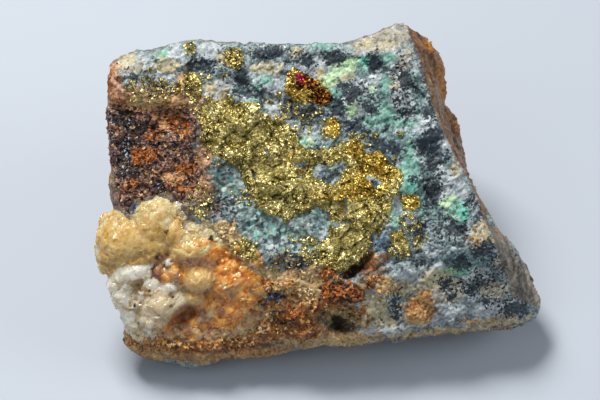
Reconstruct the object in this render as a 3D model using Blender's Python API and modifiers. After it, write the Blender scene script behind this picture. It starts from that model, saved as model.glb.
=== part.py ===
"""Chalcopyrite hand specimen.

A broken block of host rock carries a mass and several blebs of chalcopyrite, a cluster of
rounded quartz and two patches of limonite. The block is lofted, roughened and cut to stand
flat. Each mineral is then parted from it along its own outline, with a thin gap all round.

Places on the display face are columns and rows of a fine grid, counted to the right and
downwards; a lift is a height above the face's plane, in millimetres.
"""

import math

import bmesh
import bpy
import numpy as np
from mathutils import Matrix, Vector, noise

MM = 0.001

# Driving dimensions, in metres
SPECIMEN_WIDTH = 0.0932  # left to right across the display face
FACE_TILT = math.radians(35)  # of the display face, from level
FACE_CENTRE = Vector((0.0, -0.009, 0.036))  # where the face grid's middle stands
GAP = 0.0003  # between a mineral and the rock around it
ROUGH_VOXEL = 0.0011  # grain of the first roughened body
FINE_VOXEL = 0.0009  # grain once the lobes and lumps have grown on
BLOCK_TRIANGLES = 6050  # of the whole block, before the minerals are parted
FACE_SHARE = 0.72  # how much the face is spared when the block is thinned out

# The grid on the display face
GRID_COLUMNS = 444  # from the leftmost to the rightmost point of the specimen
MID_COLUMN = 318
MID_ROW = 195
STEP = SPECIMEN_WIDTH / GRID_COLUMNS

# The lower part of the face turns away below this line, by this slope
BREAK_COLUMNS = (100, 180, 255, 300, 345, 400, 450, 475, 500, 540)
BREAK_ROWS = (275, 285, 266, 280, 282, 264, 262, 250, 242, 235)
LOWER_SLOPE = math.tan(math.radians(27))

# Rim of the display face: column, row
FACE_RIM = (
    (114, 66), (135, 58), (160, 52), (185, 48), (220, 47), (260, 46), (300, 48), (345, 48),
    (365, 47), (380, 46), (398, 45), (412, 43), (418, 55), (425, 80), (430, 95), (435, 110),
    (440, 125), (447, 140), (455, 155), (462, 166), (470, 181), (478, 199), (486, 220),
    (494, 236), (500, 256), (507, 275), (510, 294), (517, 309), (513, 320), (490, 323),
    (464, 327), (444, 330), (419, 332), (389, 336), (345, 340), (323, 338), (304, 340),
    (274, 345), (250, 348), (220, 352), (190, 355), (166, 352), (148, 345), (136, 331),
    (129, 312), (123, 292), (119, 270), (117, 245), (117, 218), (119, 198), (118, 180),
    (117, 160), (115, 140), (113, 118), (112, 100), (111, 80),
)

# Widest outline of the block: column, row, lift
GIRDLE = (
    (107, 59, -4), (131, 52, -4), (151, 49, -4), (176, 41, -3), (197, 38, -3),
    (222, 40, -3), (258, 40, -3), (289, 41, -3), (313, 42, -3), (340, 41, -3),
    (354, 37, -4), (376, 31, -6), (388, 24, -8), (400, 21, -8), (414, 26, -9),
    (431, 38, -12), (441, 48, -14), (448, 64, -15), (449, 82, -15), (449, 97, -15),
    (455, 112, -15), (459, 126, -15), (462, 145, -14), (468, 165, -13), (474, 180, -12),
    (482, 198, -11), (492, 222, -10), (505, 235, -12), (516, 245, -14), (527, 260, -15),
    (534, 275, -16), (541, 292, -16), (545, 304, -16), (542, 318, -15),
    (535, 326, -13), (519, 328, -12), (489, 331, -10.5), (464, 335, -10.5),
    (444, 338, -10.5), (419, 340, -10.5), (389, 345, -10.5), (345, 349, -10),
    (323, 347, -10), (304, 350, -10), (274, 359, -10.5), (250, 362, -11),
    (221, 366, -12), (190, 369, -13.5), (166, 368, -14.5), (146, 366, -14.5),
    (124, 362, -14.5), (117, 348, -14.5), (118, 332, -14), (121, 315, -13), (116, 295, -12),
    (112, 275, -12), (109, 250, -11), (110, 222, -10), (112, 205, -8), (109, 180, -7),
    (108, 163, -7), (106, 148, -7), (105, 126, -6), (103, 111, -6), (104, 100, -5),
    (103, 80, -5),
)

# Underside, where the block stands: x, y in millimetres
BASE = (
    (43, -6), (39, 3), (33, 12), (26, 20), (14, 25), (-6, 26), (-22, 23), (-33, 16),
    (-39, 4), (-39, -8), (-35, -16), (-24, -19), (-8, -17), (10, -15), (27, -13), (38, -11),
)
BASE_MIDDLE = (0, -2)  # what the underside's outline turns around
BELLY_HEIGHT = 0.45  # of the way from the girdle down to the underside
BELLY_OUT = 4.0 * MM  # how far the block's flanks swell there
BELLY_BACK = 3.0 * MM  # and how much further they swell behind
BELLY_FRONT = -0.35  # direction (+Y) forward of which they do not swell
BASE_DEPTH = 3.0 * MM  # how far the loft runs below the ground before it is cut flat
LOFT_SIDES = 120
FACE_RINGS = (0.93, 0.8, 0.62, 0.42, 0.2)

# Broken corners of the hidden back: a point the break passes through and its direction
BREAKS = (
    (Vector((-0.034, 0.0165, 0.025)), Vector((-0.55, 0.80, -0.25))),
    (Vector((0.029, 0.0165, 0.025)), Vector((0.72, 0.66, -0.22))),
    (Vector((-0.037, -0.001, 0.004)), Vector((-0.85, 0.35, -0.40))),
    (Vector((0.006, 0.0295, 0.010)), Vector((-0.12, 0.90, -0.42))),
)

# Outlines of the minerals on the face: column, row
CHALCOPYRITE_MASS = (
    (203, 109), (212, 105), (224, 103), (238, 105), (250, 104), (262, 110), (270, 117),
    (280, 122), (290, 130), (293, 138), (300, 148), (312, 152), (335, 150), (350, 142),
    (358, 138), (366, 154), (378, 152), (388, 165), (398, 172), (400, 182), (394, 194),
    (385, 208), (380, 226), (370, 232), (368, 245), (360, 256), (348, 266), (335, 270),
    (321, 267), (319, 255), (329, 238), (331, 210), (318, 204), (304, 208), (294, 215),
    (284, 218), (270, 211), (257, 199), (245, 183), (240, 170), (228, 160), (217, 154),
    (213, 147), (204, 144), (201, 132), (202, 120),
)
TARNISHED = (
    (287, 73), (296, 66), (303, 74), (318, 82), (328, 90), (331, 98), (322, 105), (308, 103),
    (295, 100), (284, 92), (288, 84),
)
TOP_BLEB = ((226, 51), (233, 48), (241, 51), (243, 60), (238, 69), (229, 68), (223, 60))
WEST_STREAK = ((186, 75), (194, 72), (201, 80), (203, 91), (200, 100), (191, 101), (184, 92))
AMBER_BLEB = ((327, 120), (334, 117), (340, 124), (339, 134), (332, 139), (325, 132))
EAST_UPPER = ((401, 198), (409, 195), (418, 199), (420, 207), (412, 211), (404, 208))
EAST_LOWER = (
    (389, 234), (397, 229), (405, 232), (409, 243), (409, 253), (403, 257), (396, 250),
)
SOUTHWEST = ((241, 245), (249, 242), (256, 247), (256, 256), (249, 260), (242, 256))
QUARTZ = (
    (84, 204), (108, 207), (121, 213), (129, 219), (135, 210), (141, 203), (150, 198),
    (160, 198), (170, 200), (181, 206), (187, 219), (200, 220), (213, 224), (219, 240),
    (231, 256), (240, 265), (256, 269), (265, 278), (268, 292), (262, 305), (266, 318),
    (258, 330), (240, 338), (215, 342), (190, 345), (165, 345), (148, 341), (136, 335),
    (84, 337),
)
GOSSAN = (
    (96, 109), (112, 106), (130, 104), (150, 106), (170, 107), (186, 109), (193, 119),
    (194, 134), (192, 148), (197, 160), (201, 172), (197, 183), (190, 192), (184, 201),
    (172, 197), (160, 194), (150, 194), (140, 199), (133, 206), (128, 214), (121, 208),
    (108, 203), (96, 201),
)
RUSTY_LUMP = (
    (321, 288), (328, 282), (340, 281), (352, 283), (361, 290), (364, 297), (357, 303),
    (343, 304), (330, 303), (322, 297),
)

# Lowered ground that the quartz and the gossan stand in, in millimetres
QUARTZ_BED = -3.0
GOSSAN_BED = -1.7
BED_MARGIN = 6.0  # grid steps over which the ground falls to a bed

# Rounded lobes of quartz: column, row, lift, then half sizes across, up and out (mm)
QUARTZ_LOBES = (
    (125, 241, -3.2, 6.4, 5.7, 5.4), (108, 252, -4.6, 2.9, 5.2, 4.2),
    (152, 222, -2.6, 4.3, 5.0, 4.6), (168, 213, -3.0, 3.2, 3.0, 3.6),
    (140, 214, -3.4, 2.4, 2.6, 3.4), (150, 247, -3.2, 4.2, 3.4, 4.2),
    (177, 236, -2.6, 2.0, 3.6, 3.4), (199, 230, -2.8, 3.4, 2.3, 2.8),
    (192, 250, -2.4, 5.0, 2.9, 3.9), (212, 250, -3.2, 2.6, 3.0, 3.0),
    (195, 265, -3.6, 4.6, 1.8, 3.2), (132, 272, -3.6, 4.4, 2.8, 3.9),
    (116, 274, -5.2, 2.4, 3.2, 3.4), (170, 273, -4.4, 3.4, 2.6, 3.6),
    (198, 279, -3.7, 3.2, 2.9, 3.5), (195, 298, -6.6, 2.7, 1.9, 3.2),
    (150, 288, -5.2, 3.6, 2.6, 3.6), (168, 301, -5.8, 3.9, 3.6, 3.7),
    (146, 307, -6.8, 3.4, 3.6, 3.6), (121, 293, -6.4, 3.0, 3.8, 4.0),
    (231, 312, -6.4, 2.2, 2.5, 3.0), (228, 283, -4.0, 3.6, 3.4, 3.6),
    (247, 276, -3.4, 3.2, 2.6, 3.0), (245, 297, -5.4, 3.8, 3.2, 3.2),
    (216, 305, -6.6, 2.6, 3.2, 3.0), (258, 288, -4.2, 2.2, 2.8, 2.6),
    (143, 331, -9.4, 3.2, 2.6, 2.9), (166, 334, -9.6, 3.6, 2.2, 3.0),
    (192, 334, -9.4, 4.0, 2.2, 3.0), (216, 331, -8.8, 3.2, 2.0, 2.8),
    (240, 328, -8.2, 1.9, 1.9, 2.4), (252, 323, -7.6, 1.7, 1.9, 2.2),
    (204, 318, -8.4, 3.0, 2.2, 2.6), (131, 318, -8.2, 2.4, 3.2, 3.2),
)
# Blocky quartz crystals: column, row, lift, edge (mm), turn and lean (degrees)
QUARTZ_BLOCKS = (
    (128, 310, -5.6, 2.9, 24, 38), (141, 335, -8.0, 2.0, 50, 30), (117, 286, -4.6, 1.9, 12, 44),
    (150, 340, -9.2, 1.8, 35, 52),
)
# Lumps of rock and rust on the lower facet, given as the lobes are
ROCK_LUMPS = (
    (342, 293, -2.6, 4.1, 2.1, 3.0), (356, 298, -3.2, 1.7, 1.3, 2.6),
    (330, 290, -2.4, 1.9, 1.8, 2.2), (300, 315, -4.8, 2.9, 1.6, 2.0),
    (266, 315, -5.8, 1.2, 1.3, 1.5), (312, 300, -3.4, 2.0, 2.2, 1.7),
    (420, 310, -6.4, 3.7, 3.9, 2.6), (282, 290, -2.8, 3.6, 1.6, 2.2),
    (303, 330, -6.6, 3.4, 1.7, 1.7), (452, 308, -6.6, 3.0, 3.2, 2.2),
    (486, 302, -8.0, 3.6, 3.4, 2.4), (385, 330, -6.8, 3.2, 1.6, 1.5),
    (366, 314, -4.6, 1.6, 2.6, 1.6),
)
# Hollows in the face: column, row, half sizes across and up (grid steps), turn (degrees), depth (mm)
HOLLOWS = (
    (356, 266, 20, 7.5, 40, 5.0),  # crevice under the mass
    (341, 319, 24, 14, 0, 6.6),  # cavity at the foot of the face
    (346, 226, 7, 2.5, 20, 1.4),
    (357, 291, 7, 2.2, -45, 2.4),
    (183, 316, 15, 8, 30, 3.0),  # amber hollow in the quartz
    (157, 257, 3, 3.5, 0, 1.2),
    (278, 318, 7, 8, 0, 2.6),
    (228, 186, 12, 9, 0, 1.0),
    (300, 240, 26, 7, -12, 1.1),
    (403, 292, 10, 18, 10, 1.3),
    (268, 98, 9, 12, 0, 0.8),
    (380, 66, 22, 10, -8, 0.9),
    (372, 246, 8, 6, 30, 1.6),
)
# Thin walls left standing in the cavity: two ends (column, row), half width (grid steps), height (mm)
PARTITIONS = (
    ((334, 310), (366, 327), 2.4, 4.4),
    ((319, 336), (333, 309), 2.6, 4.2),
)
# Ledges on the face: two ends (column, row) and the step up on the left of the line (mm)
LEDGES = (
    ((203, 154), (262, 121), 1.1),
    ((262, 158), (296, 138), 0.9),
    ((330, 182), (398, 170), -0.8),
    ((255, 178), (300, 204), 0.9),
    ((120, 104), (196, 110), 0.8),
    ((352, 50), (412, 47), -0.9),
    ((414, 172), (446, 110), 0.8),
    ((436, 262), (496, 246), 0.8),
)
LEDGE_REACH = 26.0  # grid steps over which a ledge's step dies away

# Facets of the broken surface: spacing, tilt and height of step (mm)
FACE_FACETS = ((7.0, 0.16, 0.38), (2.9, 0.20, 0.24))
FLANK_FACETS = ((15.0, 0.16, 0.60), (6.0, 0.20, 0.30))
GRANULAR_FACETS = ((2.3, 0.34, 0.45),)
MASS_PROUD = 0.5  # how far the main mass stands above the rock (mm)
EDGE_CALM = 0.3  # share of the flanks' relief left near the face's rim
EDGE_DEPTH = (-10, -22)  # lifts between which the flanks' relief grows to its full height
GROUND_CALM = (-1.5, 3.0)  # heights (mm) between which it grows from nothing
STRATA_PITCH = 2.4  # mm between the ribs along the flanks
STRATA_RELIEF = 0.34  # mm
STRATA_WAVE = (9.0, 0.8)  # length and height (mm) of the slow wave the ribs follow

# Each mineral: outline, lift of its floor (mm), colour, roughness, metallic
BRASS = (0.42, 0.33, 0.10, 1.0)
AMBER = (0.38, 0.19, 0.05, 1.0)
MINERALS = {
    "chalcopyrite_mass": (CHALCOPYRITE_MASS, -6.0, BRASS, 0.38, 0.9),
    "chalcopyrite_tarnished": (TARNISHED, -3.6, AMBER, 0.42, 0.8),
    "chalcopyrite_top": (TOP_BLEB, -3.4, BRASS, 0.36, 0.9),
    "chalcopyrite_west": (WEST_STREAK, -3.2, BRASS, 0.42, 0.9),
    "chalcopyrite_amber": (AMBER_BLEB, -3.0, AMBER, 0.38, 0.8),
    "chalcopyrite_east_upper": (EAST_UPPER, -3.0, AMBER, 0.40, 0.8),
    "chalcopyrite_east_lower": (EAST_LOWER, -3.2, BRASS, 0.38, 0.9),
    "chalcopyrite_southwest": (SOUTHWEST, -3.2, BRASS, 0.45, 0.9),
    "quartz_cluster": (QUARTZ, -12.5, (0.62, 0.44, 0.20, 1.0), 0.22, 0.0),
    "limonite_gossan": (GOSSAN, -5.5, (0.10, 0.045, 0.025, 1.0), 0.7, 0.0),
    "limonite_lump": (RUSTY_LUMP, -5.2, (0.20, 0.06, 0.025, 1.0), 0.7, 0.0),
}
HOST_FINISH = ((0.20, 0.23, 0.22, 1.0), 0.62, 0.0)
PRISM_TOP = 9.0  # lift that every mineral's outline is drawn up to (mm)


def clear_scene():
    """Remove whatever the file held before."""
    for old in list(bpy.data.objects):
        bpy.data.objects.remove(old, do_unlink=True)


def new_collection(name):
    """Make a collection in the scene."""
    group = bpy.data.collections.new(name)
    bpy.context.scene.collection.children.link(group)
    return group


def face_frame():
    """Matrix from (across, up, out) on the display face to the world."""
    across = Vector((1, 0, 0))
    up = Vector((0, math.cos(FACE_TILT), math.sin(FACE_TILT)))
    out = across.cross(up)
    turn = Matrix((across, up, out)).transposed()
    return Matrix.Translation(FACE_CENTRE) @ turn.to_4x4()


FRAME = face_frame()
FRAME_BACK = FRAME.inverted()


def at_face(column, row, lift):
    """World point of a grid place and a lift in millimetres."""
    across = (column - MID_COLUMN) * STEP
    up = (MID_ROW - row) * STEP
    return FRAME @ Vector((across, up, lift * MM))


def grid_place(point):
    """Column, row and lift of a world point."""
    local = FRAME_BACK @ point
    return local.x / STEP + MID_COLUMN, MID_ROW - local.y / STEP, local.z / MM


def face_lift(column, row):
    """Lift of the face's two planes: level above the break, turned away below it."""
    below = max(0.0, row - np.interp(column, BREAK_COLUMNS, BREAK_ROWS))
    return -below * STEP / MM * LOWER_SLOPE


def smooth(low, high, value):
    """Rise smoothly from 0 at low to 1 at high."""
    t = min(1.0, max(0.0, (value - low) / (high - low)))
    return t * t * (3 - 2 * t)


def mesh_object(name, mesh, group):
    """Place a mesh in the scene as an object."""
    thing = bpy.data.objects.new(name, mesh)
    group.objects.link(thing)
    return thing


def from_bmesh(name, bm, group):
    """Turn a bmesh into an object, with its faces pointing out."""
    bmesh.ops.recalc_face_normals(bm, faces=bm.faces)
    mesh = bpy.data.meshes.new(name)
    bm.to_mesh(mesh)
    bm.free()
    return mesh_object(name, mesh, group)


def settle(thing):
    """Apply an object's modifiers to its mesh."""
    depsgraph = bpy.context.evaluated_depsgraph_get()
    depsgraph.update()
    done = bpy.data.meshes.new_from_object(thing.evaluated_get(depsgraph))
    thing.modifiers.clear()
    thing.data = done


def put_in_order(thing):
    """Number a mesh's corners and faces by their places, so that each build is the same."""
    bm = bmesh.new()
    bm.from_mesh(thing.data)
    bmesh.ops.triangulate(bm, faces=bm.faces, quad_method="SHORT_EDGE")
    by_place = sorted(bm.verts, key=lambda vertex: tuple(vertex.co))
    rank = {vertex: k for k, vertex in enumerate(by_place)}
    faces = []
    for face in bm.faces:
        corners = [rank[vertex] for vertex in face.verts]
        start = corners.index(min(corners))
        faces.append(corners[start:] + corners[:start])
    ordered = bpy.data.meshes.new(thing.name)
    ordered.from_pydata([tuple(vertex.co) for vertex in by_place], [], sorted(faces))
    bm.free()
    thing.data = ordered


def remesh(thing, voxel):
    """Rebuild a body, and whatever is joined to it, as one even skin."""
    step = thing.modifiers.new("skin", "REMESH")
    step.mode = "VOXEL"
    step.voxel_size = voxel
    settle(thing)
    put_in_order(thing)


def ring_at(points, middle, angles):
    """Points of a closed outline at the given angles around its middle."""
    table = np.array(points, dtype=float)
    turn = np.arctan2(-(table[:, 1] - middle[1]), table[:, 0] - middle[0])
    order = np.argsort(turn)
    columns = [
        np.interp(angles, turn[order], table[order, k], period=2 * math.pi)
        for k in range(table.shape[1])
    ]
    return np.stack(columns, axis=1)


def block_rings():
    """Rings of world points from the middle of the face to the underside."""
    angles = np.linspace(-math.pi, math.pi, LOFT_SIDES, endpoint=False)
    middle = (MID_COLUMN, MID_ROW)
    rim = ring_at(FACE_RIM, middle, angles)
    rings = []
    for share in sorted(FACE_RINGS) + [1.0]:
        ring = []
        for column, row in rim:
            c = MID_COLUMN + share * (column - MID_COLUMN)
            r = MID_ROW + share * (row - MID_ROW)
            ring.append(at_face(c, r, face_lift(c, r)))
        rings.append(ring)
    girdle = [at_face(*place) for place in ring_at(GIRDLE, middle, angles)]
    rings.append(girdle)
    flipped = [(x, -y) for x, y in BASE]  # as on the face's grid, rows count downwards
    base = [
        Vector((x * MM, -y * MM, -BASE_DEPTH)) for x, y in ring_at(flipped, BASE_MIDDLE, angles)
    ]
    belly = []
    for top, foot in zip(girdle, base):
        out = Vector((foot.x, foot.y, 0)).normalized()
        swell = BELLY_OUT * max(0.0, out.y - BELLY_FRONT) + BELLY_BACK * max(0.0, out.y)
        belly.append(top.lerp(foot, BELLY_HEIGHT) + out * swell)
    rings.append(belly)
    rings.append(base)
    return rings


def loft(name, rings, group):
    """Skin a stack of rings and close both ends."""
    bm = bmesh.new()
    rows = [[bm.verts.new(point) for point in ring] for ring in rings]
    for upper, lower in zip(rows, rows[1:]):
        for k, corner in enumerate(upper):
            nxt = (k + 1) % len(upper)
            bm.faces.new((corner, upper[nxt], lower[nxt], lower[k]))
    for end in (rows[0], rows[-1]):
        hub = bm.verts.new(sum((v.co for v in end), Vector()) / len(end))
        for k, corner in enumerate(end):
            bm.faces.new((corner, end[(k + 1) % len(end)], hub))
    return from_bmesh(name, bm, group)


def knock_off(block, point, direction, cutters):
    """Take away everything beyond a plane, given by a point and its outward direction."""
    bm = bmesh.new()
    bmesh.ops.create_cube(bm, size=1)
    reach = 2 * SPECIMEN_WIDTH
    size = Matrix.Diagonal((reach, reach, reach, 1))
    turn = direction.to_track_quat("Z", "Y").to_matrix().to_4x4()
    middle = Matrix.Translation(point + direction.normalized() * reach / 2)
    bmesh.ops.transform(bm, matrix=middle @ turn @ size, verts=bm.verts)
    waste = from_bmesh("waste", bm, cutters)
    combine(block, waste, "DIFFERENCE")
    bpy.data.objects.remove(waste)


def facet_lean(centre):
    """Which way, and how steeply, the facet around a centre leans."""
    shifts = (Vector((0.3, 0, 0)), Vector((0, 7.7, 0)), Vector((0, 0, 5.1)))
    return Vector([noise.noise(centre * 5.3 + shift) for shift in shifts])


def facet_height(point, facets, seed):
    """Height (mm) of a broken surface of small tilted planes, at a point in millimetres."""
    height = 0.0
    for spacing, tilt, step in facets:
        place = point / spacing + Vector((seed, -seed, 2 * seed))
        centre = noise.voronoi(place)[1][0]
        height += 2 * tilt * spacing * facet_lean(centre).dot(place - centre)
        height += 2 * step * noise.noise(centre * 3.7 + Vector((9, 4, 7)))
    return height


def inside_depth(outline, column, row):
    """How far a place lies inside an outline, in grid steps; negative outside."""
    corners = np.array(outline, dtype=float)
    ends = np.roll(corners, -1, axis=0)
    along = ends - corners
    to_place = np.array((column, row)) - corners
    share = np.clip((to_place * along).sum(1) / (along * along).sum(1), 0, 1)
    nearest = np.hypot(*(to_place - share[:, None] * along).T).min()
    crosses = (corners[:, 1] > row) != (ends[:, 1] > row)
    with np.errstate(divide="ignore", invalid="ignore"):
        reach = corners[:, 0] + (row - corners[:, 1]) / along[:, 1] * along[:, 0]
    inside = np.count_nonzero(crosses & (column < reach)) % 2 == 1
    return nearest if inside else -nearest


def hollow_depth(column, row):
    """Depth (mm) of the hollows at a place on the face."""
    depth = 0.0
    for c, r, across, up, turn, deep in HOLLOWS:
        angle = math.radians(turn)
        dc = column - c
        dr = r - row
        a = (dc * math.cos(angle) + dr * math.sin(angle)) / across
        b = (-dc * math.sin(angle) + dr * math.cos(angle)) / up
        depth = max(depth, deep * (1 - smooth(0.55, 1.15, math.hypot(a, b))))
    return depth


def line_offset(start, end, column, row):
    """Share along a line, and the signed distance to its left, in grid steps."""
    along = np.subtract(end, start)
    length = math.hypot(*along)
    dc = column - start[0]
    dr = row - start[1]
    share = (dc * along[0] + dr * along[1]) / length**2
    return share, (dc * along[1] - dr * along[0]) / length


def ledge_step(column, row):
    """Height (mm) of the ledges at a place on the face."""
    height = 0.0
    for start, end, step in LEDGES:
        share, left = line_offset(start, end, column, row)
        inside = smooth(-0.15, 0.1, share) * (1 - smooth(0.9, 1.15, share))
        fade = 1 - smooth(0.2 * LEDGE_REACH, LEDGE_REACH, abs(left))
        height += step * inside * fade * smooth(-1.6, 1.6, left)
    return height


def partition_height(column, row):
    """Height (mm) of the thin walls in the cavity."""
    height = 0.0
    for start, end, half, tall in PARTITIONS:
        share, left = line_offset(start, end, column, row)
        if -0.05 < share < 1.05:
            height = max(height, tall * (1 - smooth(0.4 * half, 1.6 * half, abs(left))))
    return height


def face_relief(column, row, point):
    """Relief (mm) of the display face at a place."""
    bed = QUARTZ_BED * smooth(-BED_MARGIN / 2, BED_MARGIN / 2, inside_depth(QUARTZ, column, row))
    rust = inside_depth(GOSSAN, column, row)
    bed += GOSSAN_BED * smooth(-BED_MARGIN / 2, BED_MARGIN / 2, rust)
    gold = smooth(-1.5, 3.0, inside_depth(CHALCOPYRITE_MASS, column, row))
    grains = facet_height(point, GRANULAR_FACETS, 17.0) * max(gold, smooth(0, 5, rust))
    broad = facet_height(point, FACE_FACETS, 3.0)
    cut = hollow_depth(column, row)
    return bed + MASS_PROUD * gold + grains + broad + ledge_step(column, row) - cut + min(
        cut, partition_height(column, row)
    )


def roughen(block):
    """Break up the block's smooth skin: relief on the face, facets and ribs on the flanks."""
    out = FRAME.col[2].to_3d()
    mesh = block.data
    moved = []
    for vertex in mesh.vertices:
        normal = vertex.normal
        facing = smooth(0.35, 0.75, normal.dot(out))
        point = vertex.co / MM
        column, row, lift = grid_place(vertex.co)
        shift = Vector()
        if facing > 0:
            shift += out * facing * face_relief(column, row, point)
        if facing < 1:
            calm = EDGE_CALM + (1 - EDGE_CALM) * smooth(-EDGE_DEPTH[0], -EDGE_DEPTH[1], -lift)
            flank = calm * facet_height(point, FLANK_FACETS, 11.0)
            wave = lift + STRATA_WAVE[1] * noise.noise(point / STRATA_WAVE[0])
            flank += STRATA_RELIEF * math.sin(2 * math.pi * wave / STRATA_PITCH)
            shift += normal * (1 - facing) * flank * smooth(*GROUND_CALM, point.z)
        moved.append(vertex.co + shift * MM)
    for vertex, place in zip(mesh.vertices, moved):
        vertex.co = place
    mesh.update()


def add_lobe(bm, column, row, lift, half_sizes):
    """Add one faceted rounded lobe."""
    size = Matrix.Diagonal([h * MM for h in half_sizes] + [1])
    turn = FRAME.to_3x3().to_4x4()
    place = Matrix.Translation(at_face(column, row, lift)) @ turn @ size
    bmesh.ops.create_icosphere(bm, subdivisions=3, radius=1, matrix=place)


def add_block(bm, column, row, lift, edge, turn, lean):
    """Add one blocky crystal."""
    spin = Matrix.Rotation(math.radians(turn), 4, "Z") @ Matrix.Rotation(math.radians(lean), 4, "X")
    place = Matrix.Translation(at_face(column, row, lift)) @ FRAME.to_3x3().to_4x4() @ spin
    bmesh.ops.create_cube(bm, size=edge * MM, matrix=place)


def grow_lobes(block):
    """Join the quartz lobes, the blocky crystals and the rock's lumps to the block."""
    bm = bmesh.new()
    bm.from_mesh(block.data)
    for column, row, lift, *half_sizes in QUARTZ_LOBES + ROCK_LUMPS:
        add_lobe(bm, column, row, lift, half_sizes)
    for crystal in QUARTZ_BLOCKS:
        add_block(bm, *crystal)
    bm.to_mesh(block.data)
    bm.free()
    remesh(block, FINE_VOXEL)


def thin_out(block):
    """Bring the block down to its triangles, with more of them kept on the face."""
    out = FRAME.col[2].to_3d()
    spare = block.vertex_groups.new(name="spare")
    for vertex in block.data.vertices:
        weight = 1.0 - FACE_SHARE * smooth(0.1, 0.6, vertex.normal.dot(out))
        spare.add([vertex.index], weight, "REPLACE")
    count = sum(len(face.vertices) - 2 for face in block.data.polygons)
    step = block.modifiers.new("thin", "DECIMATE")
    step.ratio = BLOCK_TRIANGLES / count
    step.vertex_group = spare.name
    step.use_collapse_triangulate = True
    settle(block)


def grown_outline(outline, margin):
    """Move an outline outwards by a margin, in grid steps."""
    corners = np.array(outline, dtype=float)
    before = corners - np.roll(corners, 1, axis=0)
    after = np.roll(corners, -1, axis=0) - corners
    before /= np.hypot(*before.T)[:, None]
    after /= np.hypot(*after.T)[:, None]
    area = np.cross(corners, np.roll(corners, -1, axis=0)).sum()
    side = 1 if area > 0 else -1
    normals = np.stack([before[:, 1] + after[:, 1], -(before[:, 0] + after[:, 0])], 1) * side
    normals /= np.hypot(*normals.T)[:, None]
    square = before[:, 1] * normals[:, 0] * side - before[:, 0] * normals[:, 1] * side
    return corners + normals * (margin / np.maximum(square, 0.5))[:, None]


def prism(name, outline, floor, group):
    """Upright solid on an outline, from its floor's lift to well above the face."""
    half = (PRISM_TOP - floor) * MM / 2
    curve = bpy.data.curves.new(name, "CURVE")
    curve.dimensions = "2D"
    curve.fill_mode = "BOTH"
    curve.extrude = half
    line = curve.splines.new("POLY")
    line.points.add(len(outline) - 1)
    for point, (column, row) in zip(line.points, outline):
        point.co = ((column - MID_COLUMN) * STEP, (MID_ROW - row) * STEP, 0, 1)
    line.use_cyclic_u = True
    drawn = mesh_object(name + "_line", curve, group)
    depsgraph = bpy.context.evaluated_depsgraph_get()
    depsgraph.update()
    mesh = bpy.data.meshes.new_from_object(drawn.evaluated_get(depsgraph))
    bpy.data.objects.remove(drawn)
    bm = bmesh.new()
    bm.from_mesh(mesh)
    bmesh.ops.remove_doubles(bm, verts=bm.verts, dist=1e-6)
    middle = Matrix.Translation((0, 0, floor * MM + half))
    bmesh.ops.transform(bm, matrix=FRAME @ middle, verts=bm.verts)
    solid = from_bmesh(name, bm, group)
    solid.hide_render = True
    solid.display_type = "WIRE"
    return solid


def combine(thing, other, operation):
    """Cut or trim an object by another with an exact Boolean."""
    step = thing.modifiers.new(other.name, "BOOLEAN")
    step.operation = operation
    step.solver = "EXACT"
    step.object = other
    settle(thing)


def finish(name, colour, roughness, metallic):
    """Make a plain finish."""
    material = bpy.data.materials.new(name)
    material.use_nodes = True
    shader = material.node_tree.nodes["Principled BSDF"]
    shader.inputs["Base Color"].default_value = colour
    shader.inputs["Roughness"].default_value = roughness
    shader.inputs["Metallic"].default_value = metallic
    return material


def dress(thing, colour, roughness, metallic):
    """Give an object its own finish."""
    thing.data.materials.clear()
    thing.data.materials.append(finish(thing.name, colour, roughness, metallic))


def build_block(cutters):
    """The whole broken block, with every mineral still part of it."""
    block = loft("block", block_rings(), cutters)
    for point, direction in BREAKS:
        knock_off(block, point, direction, cutters)
    remesh(block, ROUGH_VOXEL)
    roughen(block)
    grow_lobes(block)
    thin_out(block)
    knock_off(block, Vector((0, 0, 0)), Vector((0, 0, -1)), cutters)
    block.hide_render = True
    block.display_type = "WIRE"
    return block


def part_minerals(block, pieces, cutters):
    """Part each mineral from the block, and leave the rock with their pockets."""
    rock = mesh_object("host_rock", block.data.copy(), pieces)
    margin = GAP / STEP
    pockets = {}
    for name, (outline, floor, *_) in MINERALS.items():
        grown = grown_outline(outline, margin)
        pockets[name] = prism(name + "_pocket", grown, floor - GAP / MM, cutters)
        combine(rock, pockets[name], "DIFFERENCE")
    for name, (outline, floor, colour, roughness, metallic) in MINERALS.items():
        mineral = mesh_object(name, block.data.copy(), pieces)
        combine(mineral, prism(name + "_outline", outline, floor, cutters), "INTERSECT")
        if name == "limonite_gossan":
            combine(mineral, pockets["quartz_cluster"], "DIFFERENCE")
        dress(mineral, colour, roughness, metallic)
    dress(rock, *HOST_FINISH)


def main():
    """Build the specimen."""
    clear_scene()
    pieces = new_collection("chalcopyrite_specimen")
    cutters = new_collection("cutters")
    block = build_block(cutters)
    part_minerals(block, pieces, cutters)


main()
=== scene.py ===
"""Chalcopyrite hand specimen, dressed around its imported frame.

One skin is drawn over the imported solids. The rock, the crusts of chalcopyrite and limonite and
the quartz cluster are taken from it, roughened grain by grain and given procedural finishes.

Places on the display face are columns and rows of a fine grid, counted to the right and
downwards. Lifts above the face's plane, and all sizes whose names do not say otherwise, are in
millimetres.
"""

import logging
import math
from dataclasses import dataclass, field
from enum import Enum
from functools import cache
from itertools import product
from typing import Any, Sequence

import bmesh
import bpy
import numpy as np
from mathutils import Matrix, Quaternion, Vector
from mathutils.bvhtree import BVHTree


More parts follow.
